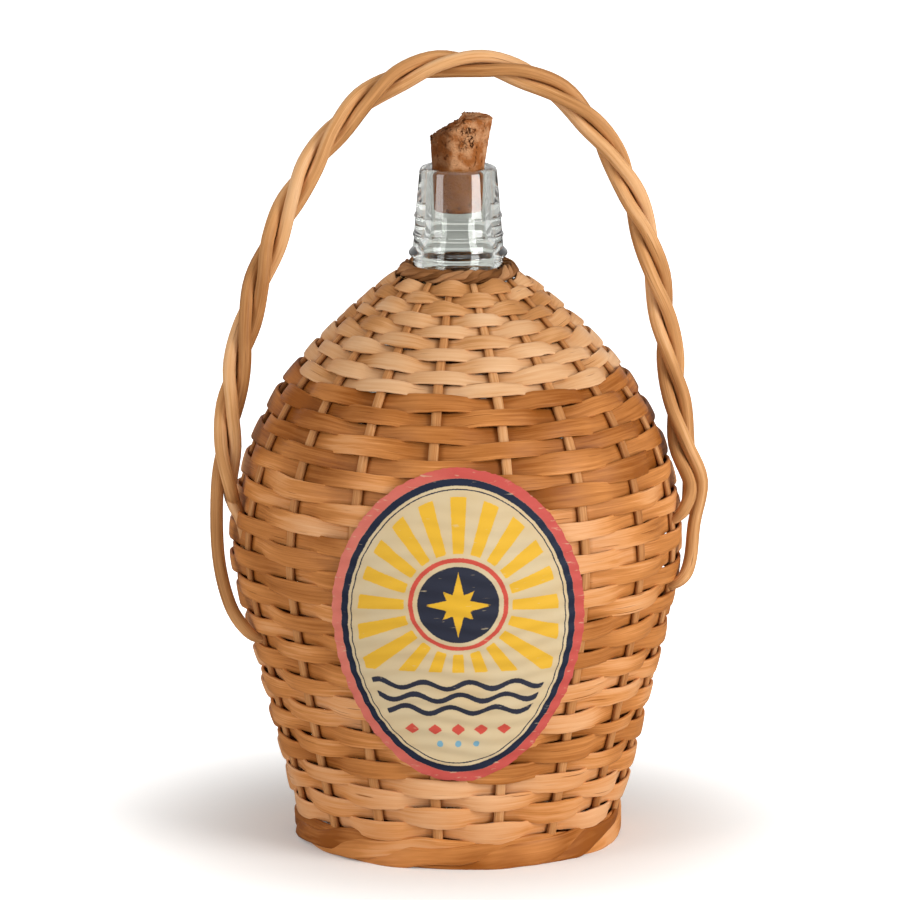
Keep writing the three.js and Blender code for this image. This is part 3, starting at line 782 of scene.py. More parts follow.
def clear_glass(settings):
    """Moulded bottle glass: clear, polished and a little wavy, with a faint green-grey body"""
    material, tree, shader = new_material("clear_bottle_glass")
    spot = add_node(tree, "TexCoord", output="Object")
    waves = {"Vector": spot, "Scale": 1 / (GLASS_WAVE * MM), "Detail": 1}
    waves = add_node(tree, "TexNoise", waves)
    bump = {"Height": waves, "Strength": GLASS_WAVINESS, "Distance": GLASS_RELIEF * MM}
    inputs = {
        "Base Color": opaque(settings.tint),
        "Transmission Weight": 1,
        "Roughness": settings.roughness,
        "IOR": GLASS_IOR,
        "Coat Weight": 1,
        "Coat IOR": GLASS_SURFACE_IOR,
        "Normal": add_node(tree, "Bump", bump),
    }
    set_inputs(tree, shader, inputs)
    return material


def natural_cork(settings):
    """Old natural cork: matt and mottled, with dark pores, dry patches, a darker left side and a
    soaked end
    """
    colours = (settings.pits, settings.middle, settings.pale, settings.soaked)
    pits, middle, pale, soaked = (opaque(colour) for colour in colours)
    material, tree, shader = new_material("natural_cork")
    spot = add_node(tree, "TexCoord", output="Object")
    stretched = add_node(tree, "Mapping", {"Vector": spot, "Scale": (1, 1, CORK_PORE_STRETCH)})
    mottle, pores = (
        add_node(tree, "TexNoise", {"Vector": place, "Scale": 1 / (size * MM), "Detail": detail})
        for place, size, detail in ((spot, CORK_MOTTLE, 6), (stretched, CORK_PORE, 3))
    )
    cells = add_node(tree, "TexVoronoi", {"Vector": spot, "Scale": 1 / (CORK_CELL * MM)})
    way = add_node(tree, "SeparateXYZ", {"Vector": spot}).node.outputs
    lip = LIP_HEIGHT * MM
    dry, left, bore, pore = (
        add_node(tree, "MapRange", {"Value": value, "From Min": a, "From Max": b, "To Max": most})
        for value, a, b, most in (
            (mottle, 0.43, 0.6, 1),
            # the left side darkens towards the pits' colour
            (way["X"], -2 * MM, -5 * MM, CORK_LEFT_DARKENING),
            (way["Z"], lip + MM, lip - 2 * MM, CORK_SOAKING),
            (pores, 0.6, 0.68, 1),
        )
    )
    height = add_node(tree, "Math", {0: cells, 1: pore}, operation="SUBTRACT")
    bump = {"Height": height, "Strength": 0.8, "Distance": CORK_RELIEF * MM}
    layers = ((dry, pale), (left, pits), (bore, soaked), (pore, pits))
    inputs = {
        "Base Color": layered(tree, middle, layers),
        "Roughness": 0.85,
        "Specular IOR Level": BARE_SHEEN,
        "Normal": add_node(tree, "Bump", bump),
    }
    set_inputs(tree, shader, inputs)
    return material


def printed_paper(settings):
    """Old uncoated paper with flat inks: uneven edges, faded and scuffed, with stains and fibres"""
    material, tree, shader = new_material("printed_label_paper")
    flat = add_node(tree, "TexCoord", output="UV")
    stretched = add_node(tree, "Mapping", {"Vector": flat, "Scale": (PAPER_SCUFF_STRETCH, 1, 1)})
    fibre, stain, scuff = (
        add_node(tree, "TexNoise", {"Vector": place, "Scale": 1 / (size * MM), "Detail": detail})
        for place, size, detail in (
            (flat, PAPER_FIBRE, 3),
            (flat, PAPER_STAIN, 4),
            (stretched, PAPER_SCUFF, 4),
        )
    )
    paper, dark = opaque(settings.paper), opaque(settings.ink)
    ageing = {"Value": stain, "From Min": 0.4, "From Max": 0.75, "To Max": 0.6}
    layers = [(add_node(tree, "MapRange", ageing), opaque(settings.foxing))]
    edge = add_node(tree, "Math", {0: fibre, 1: 0.5, 2: -0.25}, operation="MULTIPLY_ADD")
    inks = {"ring": settings.red, "lozenges": settings.red, "dots": settings.blue}
    inks.update({"rays": settings.yellow, "star": settings.yellow})
    for name in LABEL_INKS:
        reach = add_node(tree, "Attribute", output="Fac", attribute_name=name)
        reach = add_node(tree, "Math", {0: reach, 1: edge}, operation="ADD")
        cover = {"From Min": -INK_BLEED, "From Max": INK_BLEED, "To Min": INK_COVER, "To Max": 0}
        cover = add_node(tree, "MapRange", {"Value": reach, **cover})
        layers.append((cover, opaque(inks.get(name, settings.ink))))
    inset = add_node(tree, "Attribute", output="Fac", attribute_name="inset")
    worn = add_node(tree, "Math", {0: inset, 1: edge}, operation="ADD")
    fade = add_node(tree, "SeparateXYZ", {"Vector": flat}, "X")
    fade = add_node(tree, "Math", {0: stain, 1: 0.09, 2: fade}, operation="MULTIPLY_ADD")
    fade = add_node(tree, "MapRange", {"Value": fade, "From Min": 0.02, "From Max": 0.095})
    band = layered(tree, opaque(settings.faded_band), [(fade, opaque(settings.band))])
    for (outer, inner), ink in ((THIN_RULE, dark), (RED_BAND, band), (NAVY_RULE, dark)):
        past, short = (
            add_node(
                tree,
                "MapRange",
                {
                    "Value": worn,
                    "From Min": side - RULE_BLEED,
                    "From Max": side + RULE_BLEED,
                    "To Min": before,
                    "To Max": 1 - before,
                },
            )
            for side, before in ((outer, 0), (inner, 1))
        )
        layers.append((add_node(tree, "Math", {0: past, 1: short}, operation="MULTIPLY"), ink))
    frayed = {"Value": inset, "From Max": FRAYED_INSET, "To Min": 0.05, "To Max": 0}
    frayed = add_node(tree, "MapRange", frayed)
    scuffs = add_node(tree, "Math", {0: scuff, 1: frayed}, operation="ADD")
    rubbed = {"Value": scuffs, "From Min": 0.66, "From Max": 0.76, "To Max": 0.65}
    layers.append((add_node(tree, "MapRange", rubbed), paper))
    bump = {"Height": fibre, "Strength": 0.4, "Distance": PAPER_RELIEF * MM}
    inputs = {
        "Base Color": layered(tree, paper, layers),
        "Roughness": 0.62,
        "Specular IOR Level": PAPER_SHEEN,
        "Normal": add_node(tree, "Bump", bump),
    }
    set_inputs(tree, shader, inputs)
    return material


# Stakes and weavers


def make_stakes(settings):
    material = willow(
        "peeled_willow_stake",
        (settings.skein_dark, settings.shoulder_middle, settings.shoulder_pale),
        streak=(40, 0.9, 3),
        roughness=0.5,
        relief=0.12,
    )
    chance = random.Random(settings.seed)
    for index in range(STAKES):
        angle = stake_angle(index)
        side = Vector((math.cos(angle), math.sin(angle), 0))
        tone = chance.uniform(*STAKE_TONES)
        seed = chance.uniform(0, SEEDS)

        def section(u):
            place = jacket_at(u * JACKET_LENGTH)
            across = stake_halves(place.along)[0]
            front, depth = weave_depth(place, skein_at(place.along))
            deep = depth / 2 - VISIBLE_SKEIN * skein_at(place.along) / 2 - STAKE_CLEARANCE
            stray = STAKE_STRAY * smooth_noise(place.along / STRAY_LENGTH, seed)
            middle = bulge(angle, place.height) + front - depth / 2

            def corner(v):
                wide, high = squared(v)
                point = jacket_point(angle, place, middle + high * deep)
                return point + side * (wide * across + stray)

            return corner

        stake = add_grid(f"peeled_stake_{index + 1:02d}", *STAKE_CELLS)
        girth = 2 * (STAKE_WIDTH + STAKE_THICKNESS)
        attributes = (("tone", lambda u: tone), ("dip_shade", lambda u: 0))
        lay_grid(stake, section, JACKET_LENGTH, girth, attributes, index * 0.1)
        close_tube()
        dress(stake, material, "willow_stake", BOTTLE_BODY, [f"stake_{index + 1:02d}"])


class Kind(NamedTuple):
    """One kind of strip: its names, row, thickness, swell before a stake, and where its rows end"""

    node: str
    piece: str
    slot: str
    row: float
    skein: float
    swell: float
    end: float


class Crossing(NamedTuple):
    """Where a strip crosses a stake: the way along the jacket, its row's height and its kind"""

    along: float
    row: float
    kind: Kind


def weave(start, kinds):
    """One spiral of weaving; each kind fills its stretch with whole rows, which climb a row at the
    back, and the first row widens there down to its start"""
    crossings = []
    low = start + (SKEIN_SWELL - ROW_GAP) / 2
    for kind in kinds:
        rows = round((kind.end - low) / kind.row)
        row = (kind.end - low) / rows
        for turn in range(rows):
            for k in range(STAKES):
                climb = max(0, (k - STAKES + STEP_UP_STAKES) / STEP_UP_STAKES)
                top_row = turn == rows - 1
                if top_row and kind is kinds[-1] and climb > 0:
                    break
                if turn == 0 and kind is kinds[0]:
                    middle = low + (0.5 + climb / 2) * row
                    crossings.append(Crossing(middle, row * (1 + climb), kind))
                    continue
                taper = 1 - SKEIN_END_TAPER * climb if top_row else 1
                crossings.append(Crossing(low + (turn + 0.5 + climb) * row, row * taper, kind))
        low = kind.end
    return crossings


def strip_cuts(crossings, first, last):
    """Where a kind's rows are cut into strips of like length that end behind stakes"""
    lengths = [0]
    for i in range(first + 1, last + 1):
        lengths.append(lengths[-1] + STEP_ANGLE * jacket_at(crossings[i].along).radius)
    strips = math.ceil(lengths[-1] / SKEIN_LENGTH)
    cuts = [first]
    for strip in range(1, strips):
        index = first + bisect_left(lengths, strip * lengths[-1] / strips)
        cuts.append(index + 1 if (index + START_STAKE) % 2 == 0 else index)
    return [*cuts, last]


def skein_strip(name, crossings, first, last, settings, chance):
    """A flat strip that bends in front of one stake and behind the next"""
    kind = crossings[first].kind
    seed = chance.uniform(0, SEEDS)
    height = jacket_at(crossings[(first + last) // 2].along).height
    tanned = min(1, max(0, (height - TAN_HEIGHT) / TAN_RISE)) if kind is WALL_KIND else 0
    tone = chance.uniform(*STRIP_TONES) - TAN_DARKENING * tanned
    swells = [kind.swell * chance.uniform(*SWELL_SPREAD) for _ in crossings]
    start = crossings[0]
    tip = Crossing(start.along - (1 - TIP_SHARE) * start.row / 2, TIP_SHARE * start.row, kind)
    reached = {-1: tip, **dict(enumerate(crossings))}

    def settle(u):
        step = u * (last - first)
        return (step - CROWDING * math.sin(TURN * step) / TURN) / (last - first)

    def step_at(u):
        step = mix(first + END_INSET, last - END_INSET, settle(u))
        before = min(math.floor(step), last - 1)
        side = 1 if (before + START_STAKE) % 2 == 0 else -1
        wave = side * math.cos(math.pi * (step - before))
        return step, before, math.copysign(abs(wave) ** SWAY_SHARPNESS, wave)

    # painted shade, darkest by the stake's edge where the strip comes out from behind it
    def dip_shade_at(u):
        step, before, sway = step_at(u)
        spacing = STEP_ANGLE * jacket_at(reached[before].along).radius
        clear = abs(step - round(step)) * spacing - STAKE_WIDTH / 2
        return DIP_SHADE * math.exp(-(max(0, clear) / DIP_SHADE_REACH) ** 2) if sway < 0 else 0

    def tone_at(u):
        step, before, sway = step_at(u)
        drift = TONE_DRIFT * smooth_noise(step * DRIFT_RATE, seed + 21)
        # the tone drifts along the strip, and its front is painted paler, as if lit
        return tone + drift + PAINTED_FRONT_LIGHT * max(0, sway)

    def section(u):
        step, before, sway = step_at(u)
        share = step - before
        a, b = reached[before], reached[before + 1]
        row = mix(a.row, b.row, share)
        middle = mix(a.along, b.along, share)
        wander = settings.wander / MM
        low = middle - row / 2 + wander * smooth_noise(step / WANDER_STEPS, settings.seed)
        row_above = (step + STAKES) / WANDER_STEPS
        high = middle + row / 2 + wander * smooth_noise(row_above, settings.seed)
        front_share = mix(swells[before], swells[before + 1], share)
        swing = (front_share - BEHIND_SHARE) / 2
        extra = (front_share + BEHIND_SHARE) / 2 - BETWEEN_SHARE
        half = (high - low) / 2 * (BETWEEN_SHARE + swing * sway + extra * sway * sway)
        place = jacket_at((low + high) / 2)
        front, depth = weave_depth(place, kind.skein)
        lean = LEAN * smooth_noise(step / LEAN_STEPS, seed + 9)
        angle = stake_angle(step + START_STAKE)
        push = bulge(angle, place.height)

        def corner(v):
            across = 2 * v - 1
            edge = seed + math.copysign(3, across)
            ragged = RAGGED * smooth_noise(step * RAGGED_RATE, edge) * abs(across)
            crown = settings.crown / MM * (CROWN_LEVEL - across * across)
            offset = push + front - depth * (1 - sway) / 2 + crown + lean * across
            return jacket_point(angle, place, offset, across * half + ragged)

        return corner

    steps = last - first
    strip = add_grid(name, steps * STEP_CELLS, WIDTH_CELLS)
    length = steps * STEP_ANGLE * jacket_at(reached[first].along).radius
    attributes = (("tone", tone_at), ("dip_shade", dip_shade_at))
    lay_grid(strip, section, length, kind.row, attributes, chance.uniform(0, 5), settle)
    thickness = VISIBLE_SKEIN * kind.skein * MM
    apply_modifier(strip, "SOLIDIFY", thickness=thickness, offset=0)
    bevel = {"width": EDGE_BEVEL * MM, "segments": 2}
    apply_modifier(strip, "BEVEL", limit_method="ANGLE", angle_limit=EDGE_ANGLE, **bevel)
    face_outwards()
    bpy.ops.object.shade_smooth()
    return strip


def base_kind():
    ring_flat = math.cos(TURN / STAKES / 4)
    end = (HEEL_RADIUS - FOOT_INSET) * ring_flat - FIT_GAP - SKEIN_SWELL / 2 - SPOKE_START_RADIUS
    return Kind(
        node="base_weaver",
        piece="base_skein",
        slot="willow_skein",
        row=BASE_ROW,
        skein=BASE_SKEIN,
        swell=1.15,
        end=end,
    )


WALL_KIND = Kind(
    node="wall_weaver",
    piece="wall_skein",
    slot="willow_skein",
    row=WALL_ROW,
    skein=WALL_SKEIN,
    swell=1.13,
    end=SHOULDER_ALONG,
)
SHOULDER_KIND = Kind(
    node="shoulder_weaver",
    piece="shoulder_skein",
    slot="pale_willow_skein",
    row=SHOULDER_ROW,
    skein=SHOULDER_SKEIN,
    swell=1.27,
    end=JACKET_LENGTH - (SKEIN_SWELL - ROW_GAP) / 2,
)


def wall_weave_start():
    foot = jacket_at(along_at_height(FOOT_TOP))
    proud = crossing_offsets(foot, WALL_SKEIN)[0] + WALL_SKEIN / 2
    return along_at_height(FOOT_TOP - proud * foot.up) + FIT_GAP


BASE_CROSSINGS = weave(BASE_WEAVE_START - SPOKE_START_RADIUS, [base_kind()])
WALL_CROSSINGS = weave(wall_weave_start(), [WALL_KIND, SHOULDER_KIND])


def make_weavers(settings):
    wall = willow(
        "split_willow_skein",
        palette(settings, "skein"),
        streak=(45, 1.1, 3),
        roughness=0.47,
        relief=0.14,
    )
    shoulder = willow(
        "pale_split_willow_skein",
        palette(settings, "shoulder"),
        streak=(45, 1.0, 3),
        roughness=0.47,
        relief=0.12,
    )
    chance = random.Random(settings.seed + 1)
    for crossings in (BASE_CROSSINGS, WALL_CROSSINGS):
        for kind in dict.fromkeys(crossing.kind for crossing in crossings):
            own = [i for i, crossing in enumerate(crossings) if crossing.kind is kind]
            cuts = strip_cuts(crossings, own[0], own[-1])
            cuts[0] = own[0] or -1
            cuts[-1] = min(own[-1] + 1, len(crossings) - 1)
            for number, (first, last) in enumerate(zip(cuts, cuts[1:]), 1):
                name = f"{kind.piece}_{number:02d}"
                strip = skein_strip(name, crossings, first, last, settings, chance)
                material = shoulder if kind is SHOULDER_KIND else wall
                dress(strip, material, kind.slot, BOTTLE_BODY, [f"{kind.node}_{number:02d}"])


# Foot border and neck binding


class Ring(NamedTuple):
    """A ring of flat strips: its middle, how they pass over each other, and a strip's section"""

    radius: float
    height: float
    strands: int
    turns: int
    reach: float
    rise: float
    thick: float
    wide: float
    lean: float
    tone: float
    seed: int


def crossed_ring(name, ring):
    """A closed ring of flat strips that pass over and under each other, flat where it stands"""
    pieces = []
    for strand in range(ring.strands):
        def section(u):
            round_angle = (u + 0.5) * TURN
            lay = TURN * (strand / ring.strands + ring.turns * u)
            lay += LAY_STRAY * ring_noise(round_angle, ring.seed, 2)
            size = 1 + STRAND_WIDTH_STRAY * ring_noise(round_angle, ring.seed + strand + 1, 3)
            tilt = ring.lean + STRAND_TILT_SWING * math.cos(lay + 1)
            tilt += STRAND_TILT_STRAY * ring_noise(round_angle, ring.seed + strand + 5, 6)
            out = ring.radius + ring.reach * math.cos(lay)
            up = ring.height + ring.rise * math.sin(lay)

            def corner(v):
                deep, across = squared(v)
                deep *= ring.thick
                across *= ring.wide * size
                here = out + deep * math.cos(tilt) - across * math.sin(tilt)
                height = up + deep * math.sin(tilt) + across * math.cos(tilt)
                x, y = here * math.sin(round_angle), -here * math.cos(round_angle)
                return Vector((x, y, max(0, height)))

            return corner

        def tone_at(u):
            stray = STRAND_TONE_STRAY * ring_noise(u * TURN, strand, 4)
            return ring.tone + STRAND_TONE_STEP * strand + stray

        piece = add_grid(f"{name}_{strand + 1}", *STRAND_CELLS)
        attributes = (("tone", tone_at), ("dip_shade", lambda u: 0))
        girth = 2 * (ring.thick + ring.wide)
        lay_grid(piece, section, TURN * ring.radius, girth, attributes, strand)
        close_tube()
        pieces.append(piece)
    bpy.ops.object.select_all(action="DESELECT")
    for piece in pieces:
        piece.select_set(True)
    bpy.context.view_layer.objects.active = pieces[0]
    bpy.ops.object.join()
    pieces[0].name = name
    return pieces[0]


def make_foot_border(settings):
    material = willow(
        "willow_border_strip",
        palette(settings, "skein"),
        streak=(45, 1.1, 3),
        roughness=0.47,
        relief=0.14,
    )
    ring = Ring(
        radius=HEEL_RADIUS + 2.1,
        height=6.0,
        strands=4,
        turns=3,
        reach=1.5,
        rise=2.7,
        thick=1.1,
        wide=4.5,
        lean=-0.12,
        tone=-0.18,
        seed=3,
    )
    border = crossed_ring("twisted_foot_border", ring)
    dress(border, material, "willow_border", BOTTLE_BODY, ["foot_border"])


def make_neck_binding(settings):
    material = willow(
        "twisted_bark",
        palette(settings, "bark"),
        streak=(9, 0.7, 4),
        roughness=0.7,
        relief=0.25,
    )
    low = COLLAR_HEIGHT + STAKE_TIP_THICKNESS / 2 + FIT_GAP
    ring = Ring(
        radius=(NECK_RADIUS + COLLAR_RADIUS) / 2 + 0.5,
        height=low + 2.2,
        strands=5,
        turns=5,
        reach=1.9,
        rise=1.5,
        thick=0.8,
        wide=1.6,
        lean=0.75,
        tone=-0.05,
        seed=8,
    )
    binding = crossed_ring("bark_neck_binding", ring)
    dress(binding, material, "bark_binding", BOTTLE_BODY, ["neck_binding"])


# Glass


def neck_radius(rise):
    """The neck's even taper from its bead to its lip, at a rise above the collar"""
    bead_top = BEAD_RISE + BEAD_THICKNESS / 2
    lip = LIP_HEIGHT - COLLAR_HEIGHT
    return mix(NECK_RADIUS, LIP_RADIUS, max(0, rise - bead_top) / (lip - bead_top))


def swelling(rise, thickness, proud):
    """A rounded ring on the neck as profile points"""
    points = []
    for i in range(RING_STEPS + 1):
        share = i / RING_STEPS
        here = rise + (share - 0.5) * thickness
        swell = proud * math.sin(math.pi * share) ** RING_ROUNDNESS
        points.append((neck_radius(here) + swell, COLLAR_HEIGHT + here))
    return points


def glass_profile():
    """The glass from the push-up's centre, over the outside to the lip, and down the inside"""
    body = []
    for i in range(BODY_STATIONS + 1):
        along = HEEL_ALONG + (JACKET_LENGTH - HEEL_ALONG) * i / BODY_STATIONS
        place = jacket_at(along)
        skein = skein_at(along)
        body.append((place, crossing_offsets(place, skein)[1] + skein / 2 + 2 * FIT_GAP))
    outside, inside = (
        [(p.radius - p.out * (depth + wall), p.height - p.up * (depth + wall)) for p, depth in body]
        for wall in (0, GLASS_WALL)
    )
    bottom = outside[0][1]
    neck_foot = outside[-1][1] + outside[-1][0] - NECK_RADIUS
    profile = [
        (0, bottom + PUNT_HEIGHT),
        (PUNT_RADIUS * PUNT_BEND, bottom + PUNT_HEIGHT * PUNT_BEND),
        (PUNT_RADIUS, bottom),
        *outside,
        (NECK_RADIUS, neck_foot),
    ]
    profile += swelling(BEAD_RISE, BEAD_THICKNESS, BEAD_RADIUS - NECK_RADIUS)
    for rise in RING_RISES:
        profile += swelling(rise, RING_THICKNESS, RING_PROUD)
    for i in range(LIP_STEPS + 1):
        turn = math.pi / 2 * i / LIP_STEPS
        out = LIP_RADIUS - LIP_ROUND + LIP_ROUND * math.cos(turn)
        profile.append((out, LIP_HEIGHT - LIP_ROUND + LIP_ROUND * math.sin(turn)))
    for i in range(BORE_STEPS + 1):
        turn = math.pi / 2 * i / BORE_STEPS
        out = BORE_RADIUS + BORE_ROUND - BORE_ROUND * math.sin(turn)
        profile.append((out, LIP_HEIGHT - BORE_ROUND + BORE_ROUND * math.cos(turn)))
    return [
        *profile,
        (BORE_RADIUS, LIP_HEIGHT - BORE_DEPTH),
        (NECK_RADIUS - GLASS_WALL, COLLAR_HEIGHT + BEAD_RISE),
        (NECK_RADIUS - GLASS_WALL, neck_foot),
        *(point for point in reversed(inside) if point[1] < neck_foot),
        (PUNT_RADIUS, bottom + GLASS_WALL),
        (0, bottom + PUNT_HEIGHT + GLASS_WALL),
    ]


def turn_profile(name, profile, sides):
    """Turns a profile about the axis: a ring is extruded and scaled from station to station"""
    radius, height = start = profile[1]
    bpy.ops.object.select_all(action="DESELECT")
    place = (0, 0, height * MM)
    bpy.ops.mesh.primitive_circle_add(vertices=sides, radius=radius * MM, location=place)
    turned = bpy.context.object
    turned.name = name
    bpy.ops.object.transform_apply(location=True, rotation=False, scale=False)
    bpy.ops.object.mode_set(mode="EDIT")
    bpy.ops.mesh.select_all(action="SELECT")
    for next_radius, next_height in profile[2:-1]:
        rise = {"value": (0, 0, (next_height - height) * MM)}
        bpy.ops.mesh.extrude_edges_move(TRANSFORM_OT_translate=rise)
        size = next_radius / radius
        bpy.ops.transform.resize(value=(size, size, 1), center_override=(0, 0, next_height * MM))
        radius, height = next_radius, next_height
    for pole in (profile[-1], profile[0]):
        if pole is profile[0]:
            bpy.ops.mesh.select_all(action="DESELECT")
            bpy.ops.mesh.select_non_manifold()
            height = start[1]
        rise = {"value": (0, 0, (pole[1] - height) * MM)}
        bpy.ops.mesh.extrude_edges_move(TRANSFORM_OT_translate=rise)
        bpy.ops.mesh.merge(type="CENTER")
    bpy.ops.mesh.select_all(action="SELECT")
    bpy.ops.mesh.normals_make_consistent(inside=False)
    bpy.ops.object.mode_set(mode="OBJECT")
    bpy.ops.object.shade_smooth_by_angle(angle=math.radians(60))
    return turned


def make_glass(settings):
    bottle = turn_profile("glass_demijohn", glass_profile(), GLASS_SIDES)
    dress(bottle, clear_glass(settings), "clear_glass", BOTTLE_BODY, ["glass_bottle"])


# Cork


def make_cork(settings):
    """A tapered stopper, broken off on the left and crumbled"""
    seat = BORE_RADIUS - FIT_GAP
    bottom = LIP_HEIGHT - CORK_DEPTH
    top = LIP_HEIGHT + CORK_RISE
    low_radius = seat - CORK_SLACK - CORK_TAPER * CORK_DEPTH
    high_radius = seat + CORK_TAPER * CORK_RISE
    profile = [
        (0, bottom),
        (low_radius - CORK_FOOT_EDGE, bottom),
        (low_radius, bottom + CORK_FOOT_EDGE),
        (seat - CORK_SLACK, LIP_HEIGHT),
        (high_radius, top - CORK_RIM),
        (high_radius - CORK_RIM, top),
        (0, top),
    ]
    cork = turn_profile("broken_cork", profile, CORK_SIDES)
    run = BORE_RADIUS + CORK_TOP_EDGE - CORK_STEP_RUN
    slope = math.atan2(CORK_BREAK_LOW - CORK_BREAK_STEP, run)
    reach = 2 * (BORE_RADIUS + CORK_RISE)
    bpy.ops.mesh.primitive_cube_add(size=1)
    cutter = bpy.context.object
    step_foot = CORK_TOP_EDGE - CORK_STEP_RUN
    for vertex in cutter.data.vertices:
        right, back, up = (vertex.co.x > 0, vertex.co.y > 0, vertex.co.z > 0)
        side = (CORK_TOP_EDGE if up else step_foot) if right else step_foot - reach
        floor = top - CORK_BREAK_STEP - (0 if right else reach * math.tan(slope))
        height = (top + (0.5 if right else reach)) if up else floor
        vertex.co = Vector((side, reach if back else -reach, height)) * MM
    bpy.ops.object.select_all(action="DESELECT")
    bpy.context.view_layer.objects.active = cork
    cork.select_set(True)
    apply_modifier(cork, "BOOLEAN", operation="DIFFERENCE", object=cutter, solver="EXACT")
    bpy.data.objects.remove(cutter)
    apply_modifier(cork, "REMESH", mode="VOXEL", voxel_size=CORK_VOXEL * MM)
    for vertex in cork.data.vertices:
        height = vertex.co.z / MM - LIP_HEIGHT
        broken = min(1, max(0, (height - CRUMBLE_START) / CRUMBLE_RUN))
        crumbs = noise.fractal(vertex.co / (CORK_CRUMB * MM), 0.9, 2.1, 4)
        pits = max(0, noise.noise(vertex.co / (CORK_PIT * MM)) - CORK_PIT_LEVEL)
        depth = 0.8 * broken * abs(crumbs) + 1.1 * pits * (0.2 + 0.8 * broken)
        vertex.co -= vertex.normal * settings.crumble * depth
        proud = max(0, height)
        vertex.co.x = vertex.co.x * (1 + CORK_TOP_FLARE * proud) + CORK_TOP_LEAN * proud * MM
    bpy.ops.object.shade_smooth()
    dress(cork, natural_cork(settings), "cork", CORK_BODY, ["cork"])


# Handle

ROPE_RADIUS = (ROD_DIAMETER + FIT_GAP) / math.sqrt(3) / math.cos(math.pi / LAY_STEPS)
FOOT_STANDOFF = ROPE_RADIUS + ROD_DIAMETER / 2 + HANDLE_CLEARANCE


def path_at(points, lengths, share):
    """The point a share of the way along a path"""
    along = share * lengths[-1]
    after = min(len(points) - 1, max(1, bisect_left(lengths, along)))
    part = (along - lengths[after - 1]) / (lengths[after] - lengths[after - 1])
    return points[after - 1].lerp(points[after], part)


def path_lengths(points):
    lengths = [0]
    for a, b in zip(points, points[1:]):
        lengths.append(lengths[-1] + (b - a).length)
    return lengths


def handle_arch():
    """The arch from the left foot to the right one, with its span and its rise"""
    left = jacket_surface(LEFT_FOOT, HANDLE_FOOT_HEIGHT, FOOT_STANDOFF)
    right = jacket_surface(RIGHT_FOOT, HANDLE_FOOT_HEIGHT, FOOT_STANDOFF)
    span = (right - left).normalized()
    rise = Vector((0, math.sin(HANDLE_LEAN), math.cos(HANDLE_LEAN)))
    top = (left + right) / 2 + span * HANDLE_TOP_SHIFT + rise * HANDLE_RISE
    left_bow = left - span * HANDLE_LEFT_BOW + rise * HANDLE_LEFT_BOW_RISE
    right_bow = right + span * HANDLE_RIGHT_BOW + rise * HANDLE_RIGHT_BOW_RISE
    legs = [
        [left, left_bow, top - span * HANDLE_LEFT_TOP_REACH, top],
        [top, top + span * HANDLE_RIGHT_TOP_REACH, right_bow, right],
    ]
    points = [bezier(leg, i / ARCH_STEPS) for leg in legs for i in range(ARCH_STEPS)]
    return [*points, right], span, rise


def gap_at_stake(index, height):
    """The crossing behind a stake that is nearest a height"""
    behind = [
        crossing
        for i, crossing in enumerate(WALL_CROSSINGS)
        if (i + START_STAKE) % 2 == 1 and (i + START_STAKE - index) % STAKES == 0
    ]
    return min(behind, key=lambda crossing: abs(jacket_at(crossing.along).height - height))


def curve_through(points, steps):
    """A smooth path through points, with a number of steps between each two"""
    ends = [2 * points[0] - points[1], *points, 2 * points[-1] - points[-2]]
    path = []
    for before, a, b, after in zip(ends, ends[1:], ends[2:], ends[3:]):
        for i in range(steps):
            t = i / steps
            bend = (2 * before - 5 * a + 4 * b - after) * t * t
            twist = (3 * a - before - 3 * b + after) * t ** 3
            path.append(0.5 * (2 * a + (b - before) * t + bend + twist))
    return [*path, points[-1]]


def tail(foot, stake_index, foot_angle, drop, standoff):
    """The points that take a rod from the handle's foot into a gap in the weave"""
    gap = gap_at_stake(stake_index, HANDLE_FOOT_HEIGHT - drop)
    place = jacket_at(gap.along)
    angle = stake_angle(stake_index)
    proud = crossing_offsets(place, gap.kind.skein)[0] + gap.kind.skein / 2
    fall = foot.z - place.height
    bends = [foot]
    if fall > LOOP_LEAST_FALL:
        swing = mix(foot_angle, angle, LOOP_SWING)
        bends.append(jacket_surface(foot_angle, foot.z - fall * LOOP_MIDDLE, standoff))
        bends.append(jacket_surface(swing, foot.z - fall * LOOP_TURN, LOOP_CLOSING * standoff))
    bends.append(jacket_point(angle, place, proud + 0.7 * ROD_DIAMETER, 0.7 * ROD_DIAMETER))
    bends.append(jacket_point(angle, place, proud - 0.2 * ROD_DIAMETER, -0.1 * ROD_DIAMETER))
    bends.append(jacket_point(angle, place, stake_halves(gap.along)[1] + FIT_GAP))
    return bends


def tuck(foot, foot_angle):
    """The points that take a rod from the handle's foot straight down under the strips"""
    bends = [foot]
    for drop, standoff in TUCK_ROUTE:
        height = foot.z - drop
        bends.append(jacket_surface(foot_angle, height, standoff + bulge(foot_angle, height)))
    return bends


def stake_before(angle):
    return math.floor((angle - FIRST_STAKE) / STEP_ANGLE)


